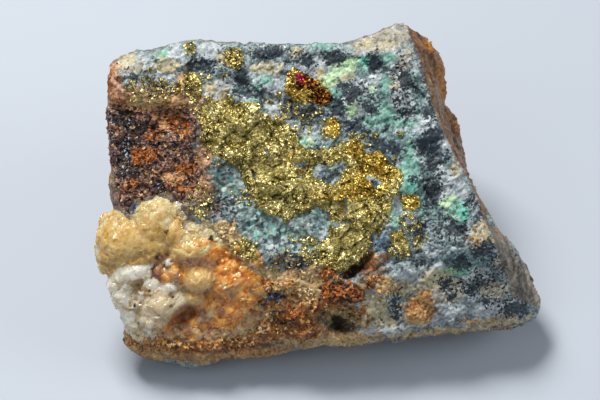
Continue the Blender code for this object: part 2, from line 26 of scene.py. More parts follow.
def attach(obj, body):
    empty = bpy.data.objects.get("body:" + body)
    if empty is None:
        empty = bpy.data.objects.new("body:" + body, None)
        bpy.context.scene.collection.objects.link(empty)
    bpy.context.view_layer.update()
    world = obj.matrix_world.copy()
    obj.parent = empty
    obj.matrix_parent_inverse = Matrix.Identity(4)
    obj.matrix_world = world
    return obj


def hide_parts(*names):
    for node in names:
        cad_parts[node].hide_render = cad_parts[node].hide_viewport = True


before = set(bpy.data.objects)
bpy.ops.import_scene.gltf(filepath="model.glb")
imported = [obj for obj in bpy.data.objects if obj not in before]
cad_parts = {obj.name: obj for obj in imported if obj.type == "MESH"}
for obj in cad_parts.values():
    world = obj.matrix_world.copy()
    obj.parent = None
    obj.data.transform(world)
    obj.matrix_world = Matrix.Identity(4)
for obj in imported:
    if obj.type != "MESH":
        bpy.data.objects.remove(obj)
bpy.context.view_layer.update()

LOG = logging.getLogger("specimen")
BODY = "root"
MM = 0.001
FAR = 1e9
FADE_STEPS = 14  # grid steps in which a mark fades
CLEAR_LIFT = 15.0  # above everything on the display face
SIDES = [[0, 1], [1, 2], [2, 0]]  # a triangle's sides
NUMBER, VECTOR = "NodeSocketFloat", "NodeSocketVector"

Numbers = np.ndarray
Thing = bpy.types.Object
Colour = tuple[float, float, float, float]
Spot = tuple[float, ...]  # column, row, half across, half up and, where turned, degrees
Spots = Sequence[Spot]
Line = tuple[tuple[float, float], tuple[float, float], float]  # two ends and a half width
Outline = Sequence[tuple[float, float]]
Planes = Sequence[tuple[float, float, float]]  # size of a cell, lean and step
Stops = Sequence[tuple[float, int, int, int]]  # place, red, green and blue


def tint(*channels: int) -> Colour:
    """Linear colour, as a shader takes it, of red, green and blue from 0 to 255."""
    steps = [channel / 255 for channel in channels]
    return (*(s / 12.92 if s <= 0.04045 else ((s + 0.055) / 1.055) ** 2.4 for s in steps), 1.0)


def rise(low: float, high: float, value: Numbers) -> Numbers:
    """Rise smoothly from 0 at a low value to 1 at a high one."""
    t = np.clip((value - low) / (high - low), 0, 1)
    return t * t * (3 - 2 * t)


@dataclass(frozen=True)
class FaceGrid:
    """The grid of columns and rows on the tilted display face."""

    width_m: float = 0.0932
    columns: int = 444
    mid_column: float = 318.0
    mid_row: float = 195.0
    tilt: float = math.radians(35)
    centre: tuple[float, float, float] = (0.0, -9.0, 36.0)

    @property
    def step(self) -> float:
        """Millimetres from one column to the next."""
        return self.width_m / MM / self.columns

    @property
    def axes(self) -> Numbers:
        """Directions across, up and out of the face, one a row."""
        level, steep = math.cos(self.tilt), math.sin(self.tilt)
        return np.array(((1, 0, 0), (0, level, steep), (0, -steep, level)))

    @property
    def out(self) -> Numbers:
        """Direction that the face looks in."""
        return self.axes[2]

    def place(self, columns: Numbers, rows: Numbers, lifts: Numbers) -> Numbers:
        """World points of grid places.

        Args:
            columns: Columns.
            rows: Rows.
            lifts: Lifts above the face's plane.

        Returns:
            One point a row, in millimetres.
        """
        across = (np.asarray(columns, float) - self.mid_column) * self.step
        up = (self.mid_row - np.asarray(rows, float)) * self.step
        lifts = np.broadcast_to(np.asarray(lifts, float), across.shape)
        return np.stack((across, up, lifts), -1) @ self.axes + np.array(self.centre)

    def find(self, points: Numbers) -> tuple[Numbers, Numbers, Numbers]:
        """Grid places of world points.

        Args:
            points: One point a row, in millimetres.

        Returns:
            Columns, rows and lifts.
        """
        local = (points - np.array(self.centre)) @ self.axes.T
        return (
            local[:, 0] / self.step + self.mid_column,
            self.mid_row - local[:, 1] / self.step,
            local[:, 2],
        )


FACE = FaceGrid()


class Noise:
    """Repeatable noise in space, worked out for many points at once."""

    @staticmethod
    def hashed(cells: Numbers, seed: int) -> Numbers:
        """A number from 0 to 1 for each whole-numbered cell.

        Args:
            cells: One cell a row.
            seed: Which series of numbers.

        Returns:
            One number a cell.
        """
        x, y, z = (cells[:, k].astype(np.uint32) for k in range(3))
        mixed = x * np.uint32(668265263) ^ y * np.uint32(2246822519) ^ z * np.uint32(3266489917)
        mixed ^= np.uint32((seed * 374761393) & 0xFFFFFFFF)
        for shift, factor in ((15, 2246822519), (13, 3266489917), (16, 668265263)):
            mixed ^= mixed >> np.uint32(shift)
            mixed *= np.uint32(factor)
        mixed ^= mixed >> np.uint32(15)
        return mixed.astype(np.float64) / 4294967296.0

    @classmethod
    def smooth(cls, points: Numbers, size: float, seed: int) -> Numbers:
        """Soft noise from -1 to 1.

        Args:
            points: One point a row.
            size: Distance between its bumps.
            seed: Which noise.

        Returns:
            One number a point.
        """
        spread = points / size + seed * 7.13
        base = np.floor(spread)
        t = spread - base
        t = t * t * (3 - 2 * t)
        base = base.astype(np.int64)
        total = np.zeros(len(points))
        for corner in product((0, 1), repeat=3):
            share = np.prod(np.where(np.array(corner, bool), t, 1 - t), axis=1)
            total += share * cls.hashed(base + np.array(corner), seed)
        return 2 * total - 1

    @classmethod
    def layered(cls, points: Numbers, size: float, seed: int, layers: int = 3) -> Numbers:
        """Soft noise with finer noise on it.

        Args:
            points: One point a row.
            size: Distance between its broadest bumps.
            seed: Which noise.
            layers: How many times it is made finer.

        Returns:
            One number a point, about -1 to 1.
        """
        total = np.zeros(len(points))
        for layer in range(layers):
            total += cls.smooth(points, size / 2**layer, seed + layer) / 1.7**layer
        return total / 1.4

    @classmethod
    def grains(cls, points: Numbers, size: float, seed: int) -> "Grains":
        """Cells of an even, irregular mosaic.

        Args:
            points: One point a row.
            size: Size of a cell.
            seed: Which mosaic.

        Returns:
            The cell that each point is in.
        """
        shift = seed * 3.71
        spread = points / size + shift
        base = np.floor(spread).astype(np.int64)
        nearest = np.full(len(points), FAR)
        middle = np.zeros((len(points), 3))
        for offset in product((-1, 0, 1), repeat=3):
            cell = base + np.array(offset)
            centre = cell + np.stack([cls.hashed(cell, seed + k) for k in range(3)], 1)
            away = np.sqrt(((spread - centre) ** 2).sum(1))
            closer = away < nearest
            middle[closer] = centre[closer]
            nearest[closer] = away[closer]
        return Grains(points, seed, (middle - shift) * size)


@dataclass
class Grains:
    """The cell of a mosaic that each point is in."""

    points: Numbers
    seed: int
    middle: Numbers

    def facets(self, lean: float, step: float) -> Numbers:
        """Height of a surface of small tilted planes, one a cell.

        Args:
            lean: Greatest slope of a plane.
            step: Height between neighbouring planes.

        Returns:
            One height a point.
        """
        cells = np.round(self.middle * 64).astype(np.int64)
        slopes = np.stack([Noise.hashed(cells, self.seed + 11 + k) for k in range(3)], 1)
        level = Noise.hashed(cells, self.seed + 17)
        tilted = ((slopes * 2 - 1) * (self.points - self.middle)).sum(1)
        return lean * tilted + step * (level - 0.5)


def turned(across: Numbers, up: Numbers, degrees: float) -> tuple[Numbers, Numbers]:
    """An offset's parts along and across a direction turned by some degrees."""
    sine, cosine = math.sin(math.radians(degrees)), math.cos(math.radians(degrees))
    return across * cosine + up * sine, up * cosine - across * sine


def spot_depth(spots: Spots, columns: Numbers, rows: Numbers) -> Numbers:
    """How far places lie inside any of several ellipses.

    Args:
        spots: The ellipses.
        columns: Columns.
        rows: Rows.

    Returns:
        Grid steps inside, negative outside.
    """
    depth = np.full(len(columns), -FAR)
    for column, row, across, up, *turn in spots:
        a, b = turned(columns - column, row - rows, turn[0] if turn else 0)
        depth = np.maximum(depth, (1 - np.hypot(a / across, b / up)) * min(across, up))
    return depth


def line_depth(lines: Sequence[Line], columns: Numbers, rows: Numbers) -> Numbers:
    """How far places lie inside any of several straight bands.

    Args:
        lines: Two ends and a half width each.
        columns: Columns.
        rows: Rows.

    Returns:
        Grid steps inside, negative outside.
    """
    depth = np.full(len(columns), -FAR)
    for start, end, half in lines:
        along = np.subtract(end, start)
        dc, dr = columns - start[0], rows - start[1]
        share = np.clip((dc * along[0] + dr * along[1]) / (along @ along), 0, 1)
        away = np.hypot(dc - share * along[0], dr - share * along[1])
        depth = np.maximum(depth, half - away)
    return depth


def outline_depth(outline: Outline, columns: Numbers, rows: Numbers) -> Numbers:
    """How far places lie inside a closed outline.

    Args:
        outline: Corners of the outline.
        columns: Columns.
        rows: Rows.

    Returns:
        Grid steps inside, negative outside.
    """
    corners = np.array(outline, dtype=float)
    away = np.full(len(columns), FAR)
    inside = np.zeros(len(columns), bool)
    for start, end in zip(corners, np.roll(corners, -1, axis=0)):
        away = np.minimum(away, -line_depth([(start, end, 0.0)], columns, rows))
        if start[1] != end[1]:
            crosses = (start[1] > rows) != (end[1] > rows)
            reach = start[0] + (rows - start[1]) / (end[1] - start[1]) * (end[0] - start[0])
            inside ^= crosses & (columns < reach)
    return np.where(inside, away, -away)


def faded(depth: Numbers) -> Numbers:
    """A mark from 0 to 1 for each depth, soft enough for a finish to tear its edge."""
    return np.clip(0.5 + depth / FADE_STEPS, 0, 1)


def struck(tree: BVHTree, column: float, row: float) -> Numbers | None:
    """Where a line straight into the display face meets a surface, if it does."""
    hit = tree.ray_cast(Vector(FACE.place(column, row, CLEAR_LIFT) * MM), Vector(-FACE.out))[0]
    return None if hit is None else np.array(hit) / MM


def drawn_place(draw: np.random.Generator, spot: Spot) -> tuple[float, float]:
    """A place drawn at random in an ellipse.

    Args:
        draw: Where it is drawn from.
        spot: The ellipse.

    Returns:
        Its column and row.
    """
    column, row, across, up, *turn = spot
    reach, way = math.sqrt(draw.random()), draw.random() * 2 * math.pi
    a, b = across * reach * math.cos(way), up * reach * math.sin(way)
    angle = math.radians(turn[0] if turn else 0)
    return (
        column + a * math.cos(angle) - b * math.sin(angle),
        row - a * math.sin(angle) - b * math.cos(angle),
    )


@dataclass
class Sheet:
    """A mesh of triangles: places in millimetres and corner numbers."""

    points: Numbers
    faces: Numbers

    def edges(self) -> Numbers:
        """Each edge once, as two corner numbers."""
        pairs = np.sort(self.faces[:, SIDES].reshape(-1, 2), axis=1)
        return np.unique(pairs, axis=0)

    def normals(self) -> Numbers:
        """Direction out of the sheet at each point."""
        a, b, c = (self.points[self.faces[:, k]] for k in range(3))
        flat = np.cross(b - a, c - a)
        total = np.zeros_like(self.points)
        for axis, corner in product(range(3), repeat=2):
            total[:, axis] += np.bincount(self.faces[:, corner], flat[:, axis], len(total))
        return total / np.maximum(np.linalg.norm(total, axis=1), 1e-12)[:, None]

    def averaged(self, values: Numbers, rounds: int, share: float = 0.5) -> Numbers:
        """Values evened out with their neighbours'.

        Args:
            values: One row a point.
            rounds: How many times.
            share: How far each round goes.

        Returns:
            The evened values.
        """
        edges = self.edges()
        start, end = np.concatenate((edges, edges[:, ::-1])).T
        count = np.maximum(np.bincount(start, minlength=len(self.points)), 1)
        flat = values.reshape(len(self.points), -1).copy()
        for _ in range(rounds):
            for axis in range(flat.shape[1]):
                mean = np.bincount(start, flat[end, axis], len(self.points)) / count
                flat[:, axis] += share * (mean - flat[:, axis])
        return flat.reshape(values.shape)

    def relaxed(self, rounds: int) -> "Sheet":
        """The sheet with its corners rounded off, at about the same size.

        Args:
            rounds: How many times it is evened out.

        Returns:
            The new sheet.
        """
        points = self.points
        for share in (0.5, -0.48) * rounds:
            points = self.averaged(points, 1, share)
        return Sheet(points, self.faces)

    def raised(self, heights: Numbers) -> "Sheet":
        """The sheet with each point moved out along its normal by its height."""
        return Sheet(self.points + self.normals() * heights[:, None], self.faces)

    def facing(self) -> Numbers:
        """How far, from -1 to 1, each point looks the display face's way."""
        return self.averaged(self.normals(), 3) @ FACE.out

    def hollowness(self, rounds: int = 6) -> Numbers:
        """Millimetres that each point lies below the sheet that many rounds about it."""
        around = self.averaged(self.points, rounds)
        return ((around - self.points) * self.normals()).sum(1)

    def part(self, chosen: Numbers) -> "Sheet":
        """The chosen faces alone."""
        kept, faces = np.unique(self.faces[chosen], return_inverse=True)
        return Sheet(self.points[kept], faces.reshape(-1, 3))

    def largest(self) -> "Sheet":
        """The largest of the bodies that the sheet holds."""
        label = np.arange(len(self.points))
        edges = self.edges()
        while True:
            low = np.minimum(label[edges[:, 0]], label[edges[:, 1]])
            new = label.copy()
            np.minimum.at(new, edges[:, 0], low)
            np.minimum.at(new, edges[:, 1], low)
            new = new[new]
            if np.array_equal(new, label):
                break
            label = new
        biggest = np.bincount(label).argmax()
        return self.part(label[self.faces[:, 0]] == biggest)

    def refined(self, chosen: Numbers | None = None) -> "Sheet":
        """The sheet with its chosen faces split in four and their neighbours fitted to them.

        Args:
            chosen: True for each face that is split; all of them if it is left out.

        Returns:
            The new sheet.
        """
        count = len(self.points)
        pairs = np.sort(self.faces[:, SIDES], axis=2)
        keys, place = np.unique(pairs[..., 0] * count + pairs[..., 1], return_inverse=True)
        place = place.reshape(-1, 3)
        split = np.zeros(len(keys), bool)
        split[place if chosen is None else place[chosen]] = True
        number = np.full(len(keys), -1)
        number[split] = count + np.arange(split.sum())
        ends = keys[split]
        middles = (self.points[ends // count] + self.points[ends % count]) / 2
        mid = number[place]
        splits = (mid >= 0).sum(1)
        faces = [self.faces[splits == 0]]
        a, b, c = self.faces[splits == 3].T
        ab, bc, ca = mid[splits == 3].T
        faces += [np.stack(t, 1) for t in ((a, ab, ca), (ab, b, bc), (ca, bc, c), (ab, bc, ca))]
        for k in range(3):
            rows = (splits == 1) & (mid[:, k] >= 0)
            a, b, c = np.roll(self.faces[rows], -k, axis=1).T
            ab = mid[rows, k]
            faces += [np.stack(t, 1) for t in ((a, ab, c), (ab, b, c))]
            rows = (splits == 2) & (mid[:, k] < 0)
            a, b, c = np.roll(self.faces[rows], -k, axis=1).T
            bc, ca = mid[rows, (k + 1) % 3], mid[rows, (k + 2) % 3]
            faces += [np.stack(t, 1) for t in ((a, b, bc), (a, bc, ca), (ca, bc, c))]
        return Sheet(np.concatenate((self.points, middles)), np.concatenate(faces))

    def closed(self, under: Numbers) -> "Sheet":
        """The open sheet with an underside and a wall round its rim.

        Args:
            under: Places of the underside's points, one for each point.

        Returns:
            The closed sheet.
        """
        count = len(self.points)
        sides = self.faces[:, SIDES].reshape(-1, 2)
        forward = sides[:, 0] * count + sides[:, 1]
        backward = sides[:, 1] * count + sides[:, 0]
        a, b = sides[~np.isin(forward, backward)].T
        walls = [np.stack((b, a, a + count), 1), np.stack((b, a + count, b + count), 1)]
        faces = [self.faces, self.faces[:, ::-1] + count] + walls
        return Sheet(np.concatenate((self.points, under)), np.concatenate(faces))


class Workshop:
    """Moves shapes between arrays and Blender's objects."""

    @staticmethod
    def make(name: str, sheet: Sheet, facets: bool = False) -> Thing:
        """Make an object of a sheet.

        Args:
            name: The object's name.
            sheet: Its mesh, in millimetres.
            facets: Whether each face is shaded flat.

        Returns:
            The object, in the scene.
        """
        mesh = bpy.data.meshes.new(name)
        mesh.vertices.add(len(sheet.points))
        mesh.vertices.foreach_set("co", (sheet.points * MM).astype(np.float32).ravel())
        mesh.loops.add(sheet.faces.size)
        mesh.loops.foreach_set("vertex_index", sheet.faces.astype(np.int32).ravel())
        mesh.polygons.add(len(sheet.faces))
        mesh.polygons.foreach_set("loop_start", np.arange(0, sheet.faces.size, 3, dtype=np.int32))
        mesh.update(calc_edges=True)
        mesh.validate()
        mesh.shade_flat() if facets else mesh.shade_smooth()
        thing = bpy.data.objects.new(name, mesh)
        bpy.context.scene.collection.objects.link(thing)
        return thing

    @staticmethod
    def mark(thing: Thing, **marks: Numbers) -> None:
        """Write numbers for each point under their names, for the finish to read."""
        for name, values in marks.items():
            attribute = thing.data.attributes.new(name, "FLOAT", "POINT")
            attribute.data.foreach_set("value", values.astype(np.float32))

    @staticmethod
    def sheet_of(mesh: bpy.types.Mesh) -> Sheet:
        """The triangles of a mesh.

        Args:
            mesh: The mesh, in metres.

        Returns:
            A sheet in millimetres.
        """
        mesh.calc_loop_triangles()
        points = np.empty(len(mesh.vertices) * 3, np.float32)
        mesh.vertices.foreach_get("co", points)
        faces = np.empty(len(mesh.loop_triangles) * 3, np.int32)
        mesh.loop_triangles.foreach_get("vertices", faces)
        return Sheet(points.reshape(-1, 3).astype(float) / MM, faces.reshape(-1, 3).astype(int))

    @staticmethod
    def joined(sheets: Sequence[Sheet]) -> Sheet:
        """Several sheets as one."""
        starts = np.cumsum([0] + [len(sheet.points) for sheet in sheets])
        faces = [sheet.faces + start for sheet, start in zip(sheets, starts)]
        return Sheet(np.concatenate([sheet.points for sheet in sheets]), np.concatenate(faces))

    @classmethod
    def ball(cls, level: int) -> Sheet:
        """A round sheet of unit radius, divided to a level of fineness."""
        bm = bmesh.new()
        bmesh.ops.create_icosphere(bm, subdivisions=level, radius=1)
        return cls.taken(bm)

    @staticmethod
    def taken(bm: bmesh.types.BMesh) -> Sheet:
        """The triangles of an editable mesh, which is then let go.

        Args:
            bm: The editable mesh.

        Returns:
            The sheet.
        """
        bm.verts.index_update()
        points = np.array([v.co[:] for v in bm.verts])
        faces = np.array([[v.index for v in f.verts] for f in bm.faces])
        bm.free()
        return Sheet(points, faces)

    @classmethod
    def fused(cls, shapes: Sheet, voxel: float) -> Sheet:
        """One even skin over closed shapes that may overlap.

        Args:
            shapes: The shapes.
            voxel: Grain of the skin.

        Returns:
            The skin's largest body.
        """
        thing = cls.make("fused", shapes)
        step = thing.modifiers.new("skin", "REMESH")
        step.mode = "VOXEL"
        step.voxel_size = voxel * MM
        depsgraph = bpy.context.evaluated_depsgraph_get()
        depsgraph.update()
        done = bpy.data.meshes.new_from_object(thing.evaluated_get(depsgraph))
        bpy.data.objects.remove(thing)
        sheet = cls.sheet_of(done)
        bpy.data.meshes.remove(done)
        return sheet.largest()

    @staticmethod
    def dress(thing: Thing, finish: Any, slot: str, node: str = "") -> None:
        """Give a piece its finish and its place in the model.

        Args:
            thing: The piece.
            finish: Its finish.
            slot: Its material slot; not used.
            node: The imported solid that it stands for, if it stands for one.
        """
        thing.data.materials.append(finish.build())
        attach(thing, BODY)
        if node:
            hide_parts(node)
        LOG.info("%s: %d triangles", thing.name, len(thing.data.polygons))


class Tone(Enum):
    """Kinds of quartz, by the mark that carries each."""

    HONEY = "honey"
    PALE = "pale"
    CLEAR = "clear"
    WHITE = "white"
    GREY = "grey"
    AMBER = "amber"
    ROSE = "rose"
    TAN = "tan"


HONEY, PALE, CLEAR, WHITE, GREY, AMBER, ROSE, TAN = Tone


class Wiring:
    """A node tree and short ways to add to it."""

    def __init__(self, tree: Any) -> None:
        """Start with a node tree."""
        self.tree = tree

    def wire(self, source: Any, target: Any) -> None:
        """Feed a socket from another socket, or set its value.

        Args:
            source: A socket, a number or a colour.
            target: The socket that takes it.
        """
        if isinstance(source, bpy.types.NodeSocket):
            self.tree.links.new(source, target)
        else:
            target.default_value = source

    def node(self, kind: str, inputs: dict[Any, Any] | None = None, **settings: Any) -> Any:
        """Add a node.

        Args:
            kind: The node's type.
            inputs: A socket or value for each input that is set.
            **settings: Its settings.

        Returns:
            The node.
        """
        made = self.tree.nodes.new(kind)
        for name, value in settings.items():
            setattr(made, name, value)
        for name, value in (inputs or {}).items():
            self.wire(value, made.inputs[name])
        return made

    def sum(self, operation: str, *values: Any) -> Any:
        """Result of a Math node's operation on sockets or numbers."""
        return self.node("ShaderNodeMath", dict(enumerate(values)), operation=operation).outputs[0]

    def weighed(self, start: float, *parts: tuple[Any, float]) -> Any:
        """Add weighed numbers up.

        Args:
            start: What they are added to.
            *parts: A socket and a weight each.

        Returns:
            The result's socket.
        """
        for value, weight in parts:
            start = self.sum("MULTIPLY_ADD", value, weight, start)
        return start

    def vector(self, operation: str, first: Any, second: Any = (0, 0, 0)) -> Any:
        """Result of a Vector Math node's operation, where SCALE takes a number second."""
        inputs = {0: first, "Scale" if operation == "SCALE" else 1: second}
        return self.node("ShaderNodeVectorMath", inputs, operation=operation).outputs[0]

    def spread(self, value: Any, low: Any, high: Any, to_low: float, to_high: Any) -> Any:
        """Numbers from low to high mapped smoothly onto to_low to to_high."""
        inputs = dict(enumerate((value, low, high, to_low, to_high)))
        return self.node("ShaderNodeMapRange", inputs, interpolation_type="SMOOTHSTEP").outputs[0]


class Effects:
    """Shader node groups that several finishes share. Their sizes are in millimetres."""

    @staticmethod
    def start(name: str, inputs: dict[str, float], outputs: dict[str, str]) -> tuple[Wiring, Any, Any]:
        """Start a node group.

        Args:
            name: Its name.
            inputs: Names and values of its number inputs.
            outputs: Names and socket types of its outputs.

        Returns:
            Its wiring, the sockets it is given and the sockets it puts out.
        """
        tree = bpy.data.node_groups.new(name, "ShaderNodeTree")
        for title, value in inputs.items():
            socket = tree.interface.new_socket(title, in_out="INPUT", socket_type=NUMBER)
            socket.default_value = value
        for title, kind in outputs.items():
            tree.interface.new_socket(title, in_out="OUTPUT", socket_type=kind)
        plan = Wiring(tree)
        return plan, plan.node("NodeGroupInput").outputs, plan.node("NodeGroupOutput").inputs

    @staticmethod
    def place(plan: Wiring, size: Any) -> Any:
        """Place on the object, counted in steps of a size."""
        where = plan.node("ShaderNodeTexCoord").outputs["Object"]
        return plan.vector("SCALE", where, plan.sum("DIVIDE", 1 / MM, size))

    @staticmethod
    @cache
    def ragged_edge() -> Any:
        """A mask whose soft edge is broken up by fine noise and small crystals.

        Returns:
            The node group, with Mask, Size, Raggedness, Softness and Crystals in and Mask out.
        """
        values = {"Mask": 0.0, "Size": 0.5, "Raggedness": 0.5, "Softness": 0.12, "Crystals": 0.38}
        plan, given, result = Effects.start("ragged_edge", values, {"Mask": NUMBER})
        where = Effects.place(plan, given["Crystals"])
        cells = plan.node("ShaderNodeTexVoronoi", {"Scale": 1.0, "Vector": where}).outputs
        ratio = plan.sum("DIVIDE", given["Crystals"], given["Size"])
        noise = plan.node("ShaderNodeTexNoise", {
            "Scale": 1.0, "Detail": 4.0, "Roughness": 0.66,
            "Vector": plan.vector("SCALE", cells["Position"], ratio),
        })
        crystal = plan.node("ShaderNodeSeparateColor", {0: cells["Color"]}).outputs[0]
        torn = plan.sum("MULTIPLY_ADD", crystal, 0.2, noise.outputs["Fac"])
        torn = plan.sum("SUBTRACT", torn, 0.6)
        mask = plan.sum("MULTIPLY_ADD", torn, given["Raggedness"], given["Mask"])
        low = plan.sum("SUBTRACT", 0.5, given["Softness"])
        high = plan.sum("ADD", 0.5, given["Softness"])
        plan.wire(plan.spread(mask, low, high, 0.0, 1.0), result["Mask"])
        return plan.tree

    @staticmethod
    @cache
    def crystal_mosaic() -> Any:
        """Irregular crystal faces: a shade, a distance to the edge and a leaning normal each.

        Returns:
            The node group, with Size and Lean in and Shade, Hue, Edge and Normal out.
        """
        outputs = {"Shade": NUMBER, "Hue": NUMBER, "Edge": NUMBER, "Normal": VECTOR}
        plan, given, result = Effects.start("crystal_mosaic", {"Size": 0.5, "Lean": 0.5}, outputs)
        inputs = {"Scale": 1.0, "Vector": Effects.place(plan, given["Size"])}
        colour = plan.node("ShaderNodeTexVoronoi", inputs).outputs["Color"]
        border = plan.node("ShaderNodeTexVoronoi", inputs, feature="DISTANCE_TO_EDGE")
        apart = plan.node("ShaderNodeSeparateColor", {0: colour}).outputs
        leaning = plan.vector("SUBTRACT", colour, (0.5, 0.5, 0.5))
        leaning = plan.vector("SCALE", leaning, given["Lean"])
        normal = plan.node("ShaderNodeNewGeometry").outputs["Normal"]
        normal = plan.vector("NORMALIZE", plan.vector("ADD", normal, leaning))
        for name, value in zip(outputs, (apart[0], apart[1], border.outputs["Distance"], normal)):
            plan.wire(value, result[name])
        return plan.tree

    @staticmethod
    @cache
    def fine_grain() -> Any:
        """Fine even roughness.

        Returns:
            The node group, with Size in and Value out.
        """
        plan, given, result = Effects.start("fine_grain", {"Size": 0.6}, {"Value": NUMBER})
        where = Effects.place(plan, given["Size"])
        inputs = {"Scale": 1.0, "Detail": 5.0, "Roughness": 0.62, "Vector": where}
        plan.wire(plan.node("ShaderNodeTexNoise", inputs).outputs["Fac"], result["Value"])
        return plan.tree


class Finish(Wiring):
    """A material, put together node by node around a Principled shader."""

    def __init__(self, name: str) -> None:
        """Start a finish.

        Args:
            name: The material's name.
        """
        self.material = bpy.data.materials.new(name)
        self.material.use_nodes = True
        super().__init__(self.material.node_tree)
        self.shader = self.tree.nodes["Principled BSDF"]

    def group(self, tree: Any, **inputs: Any) -> Any:
        """Outputs of a node group that is given these inputs."""
        return self.node("ShaderNodeGroup", inputs, node_tree=tree).outputs

    def mosaic(self, size: float, lean: float) -> Any:
        """Outputs of a mosaic of crystal faces of a size."""
        return self.group(Effects.crystal_mosaic(), Size=size, Lean=lean)

    def grain(self, size: float) -> Any:
        """Fine roughness of a size."""
        return self.group(Effects.fine_grain(), Size=size)[0]

    def mark(self, name: str) -> Any:
        """The number written for each point under a name."""
        return self.node("ShaderNodeAttribute", attribute_name=name).outputs["Fac"]

    def ramp(self, value: Any, stops: Stops) -> Any:
        """A colour for each number.

        Args:
            value: The number's socket.
            stops: Places and display colours.

        Returns:
            The colour's socket.
        """
        made = self.node("ShaderNodeValToRGB", {0: value})
        elements = made.color_ramp.elements
        while len(elements) < len(stops):
            elements.new(0.5)
        for element, (place, *colour) in zip(elements, stops):
            element.position = place
            element.color = tint(*colour)
        return made.outputs[0]

    def mix(self, share: Any, below: Any, above: Any) -> Any:
        """One colour laid over another, of which it lets a share show."""
        inputs = {0: share, 6: below, 7: above}
        return self.node("ShaderNodeMix", inputs, data_type="RGBA").outputs[2]

    def stain(self, name: str, size: float, raggedness: float, softness: float = 0.07) -> Any:
        """Mask of a marked patch, with tatters of a size and a reach on its edge."""
        inputs = {"Size": size, "Raggedness": raggedness, "Softness": softness}
        return self.group(Effects.ragged_edge(), Mask=self.mark(name), **inputs)[0]

    def set(self, **inputs: Any) -> None:
        """Feed the shader's inputs, whose names have _ for a space here."""
        for name, value in inputs.items():
            self.wire(value, self.shader.inputs[name.replace("_", " ")])

    def bump(self, height: Any, depth: float, normal: Any) -> Any:
        """Normal of a surface that is roughened by a height, where 1 stands for a depth."""
        inputs = {"Distance": depth * MM, "Height": height, "Normal": normal}
        return self.node("ShaderNodeBump", inputs).outputs[0]


@dataclass(frozen=True)
class Layer:
    """A stain on the rock: its mark, its tatters' size and reach, and its colours."""

    mark: str
    size: float
    raggedness: float
    stops: Stops


ROCK_LAYERS = (
    Layer("wash", 2.2, 1.3, ((0.2, 56, 82, 84), (0.5, 100, 127, 126), (0.85, 168, 188, 184))),
    Layer("earth", 1.8, 1.1, ((0.15, 100, 68, 38), (0.45, 156, 112, 66), (0.8, 204, 166, 114))),
    Layer("umber", 1.8, 1.1, ((0.15, 58, 48, 42), (0.5, 104, 88, 74), (0.85, 156, 138, 116))),
    Layer("white", 1.3, 1.1, ((0.15, 120, 130, 136), (0.5, 166, 175, 178), (0.85, 216, 220, 218))),
    Layer("chalk", 1.3, 1.0, ((0.15, 114, 110, 98), (0.5, 158, 153, 138), (0.85, 200, 196, 182))),
    Layer("cream", 1.3, 1.1, ((0.15, 142, 134, 106), (0.5, 180, 170, 138), (0.85, 210, 202, 176))),
    Layer("blush", 1.3, 1.1, ((0.15, 122, 84, 62), (0.5, 178, 134, 102), (0.85, 212, 180, 148))),
    Layer("mint", 1.2, 1.1, ((0.15, 118, 148, 112), (0.5, 164, 194, 150), (0.85, 204, 222, 184))),
    Layer("blue", 1.0, 1.7, ((0.15, 82, 110, 114), (0.5, 126, 152, 154), (0.85, 178, 198, 198))),
    Layer("teal", 1.2, 1.2, ((0.15, 74, 124, 112), (0.5, 118, 168, 152), (0.85, 170, 206, 190))),
    Layer("bright_teal", 1.0, 1.2, ((0.15, 72, 158, 138), (0.5, 98, 188, 166), (0.85, 150, 216, 196))),
    Layer("tan", 1.2, 1.1, ((0.15, 124, 98, 62), (0.5, 176, 146, 98), (0.85, 214, 190, 142))),
    Layer("ochre", 1.2, 1.4, ((0.15, 110, 76, 40), (0.5, 178, 132, 74), (0.85, 224, 192, 142))),
    Layer("rust", 1.2, 1.3, ((0.15, 60, 34, 16), (0.5, 138, 80, 30), (0.85, 192, 128, 60))),
    Layer("azure", 0.8, 1.2, ((0.15, 78, 102, 130), (0.5, 114, 144, 172), (0.85, 160, 184, 204))),
    Layer("dark", 1.0, 1.45, (
        (0.15, 20, 27, 33), (0.45, 38, 50, 60), (0.7, 56, 71, 80), (0.95, 98, 112, 118),
    )),
)


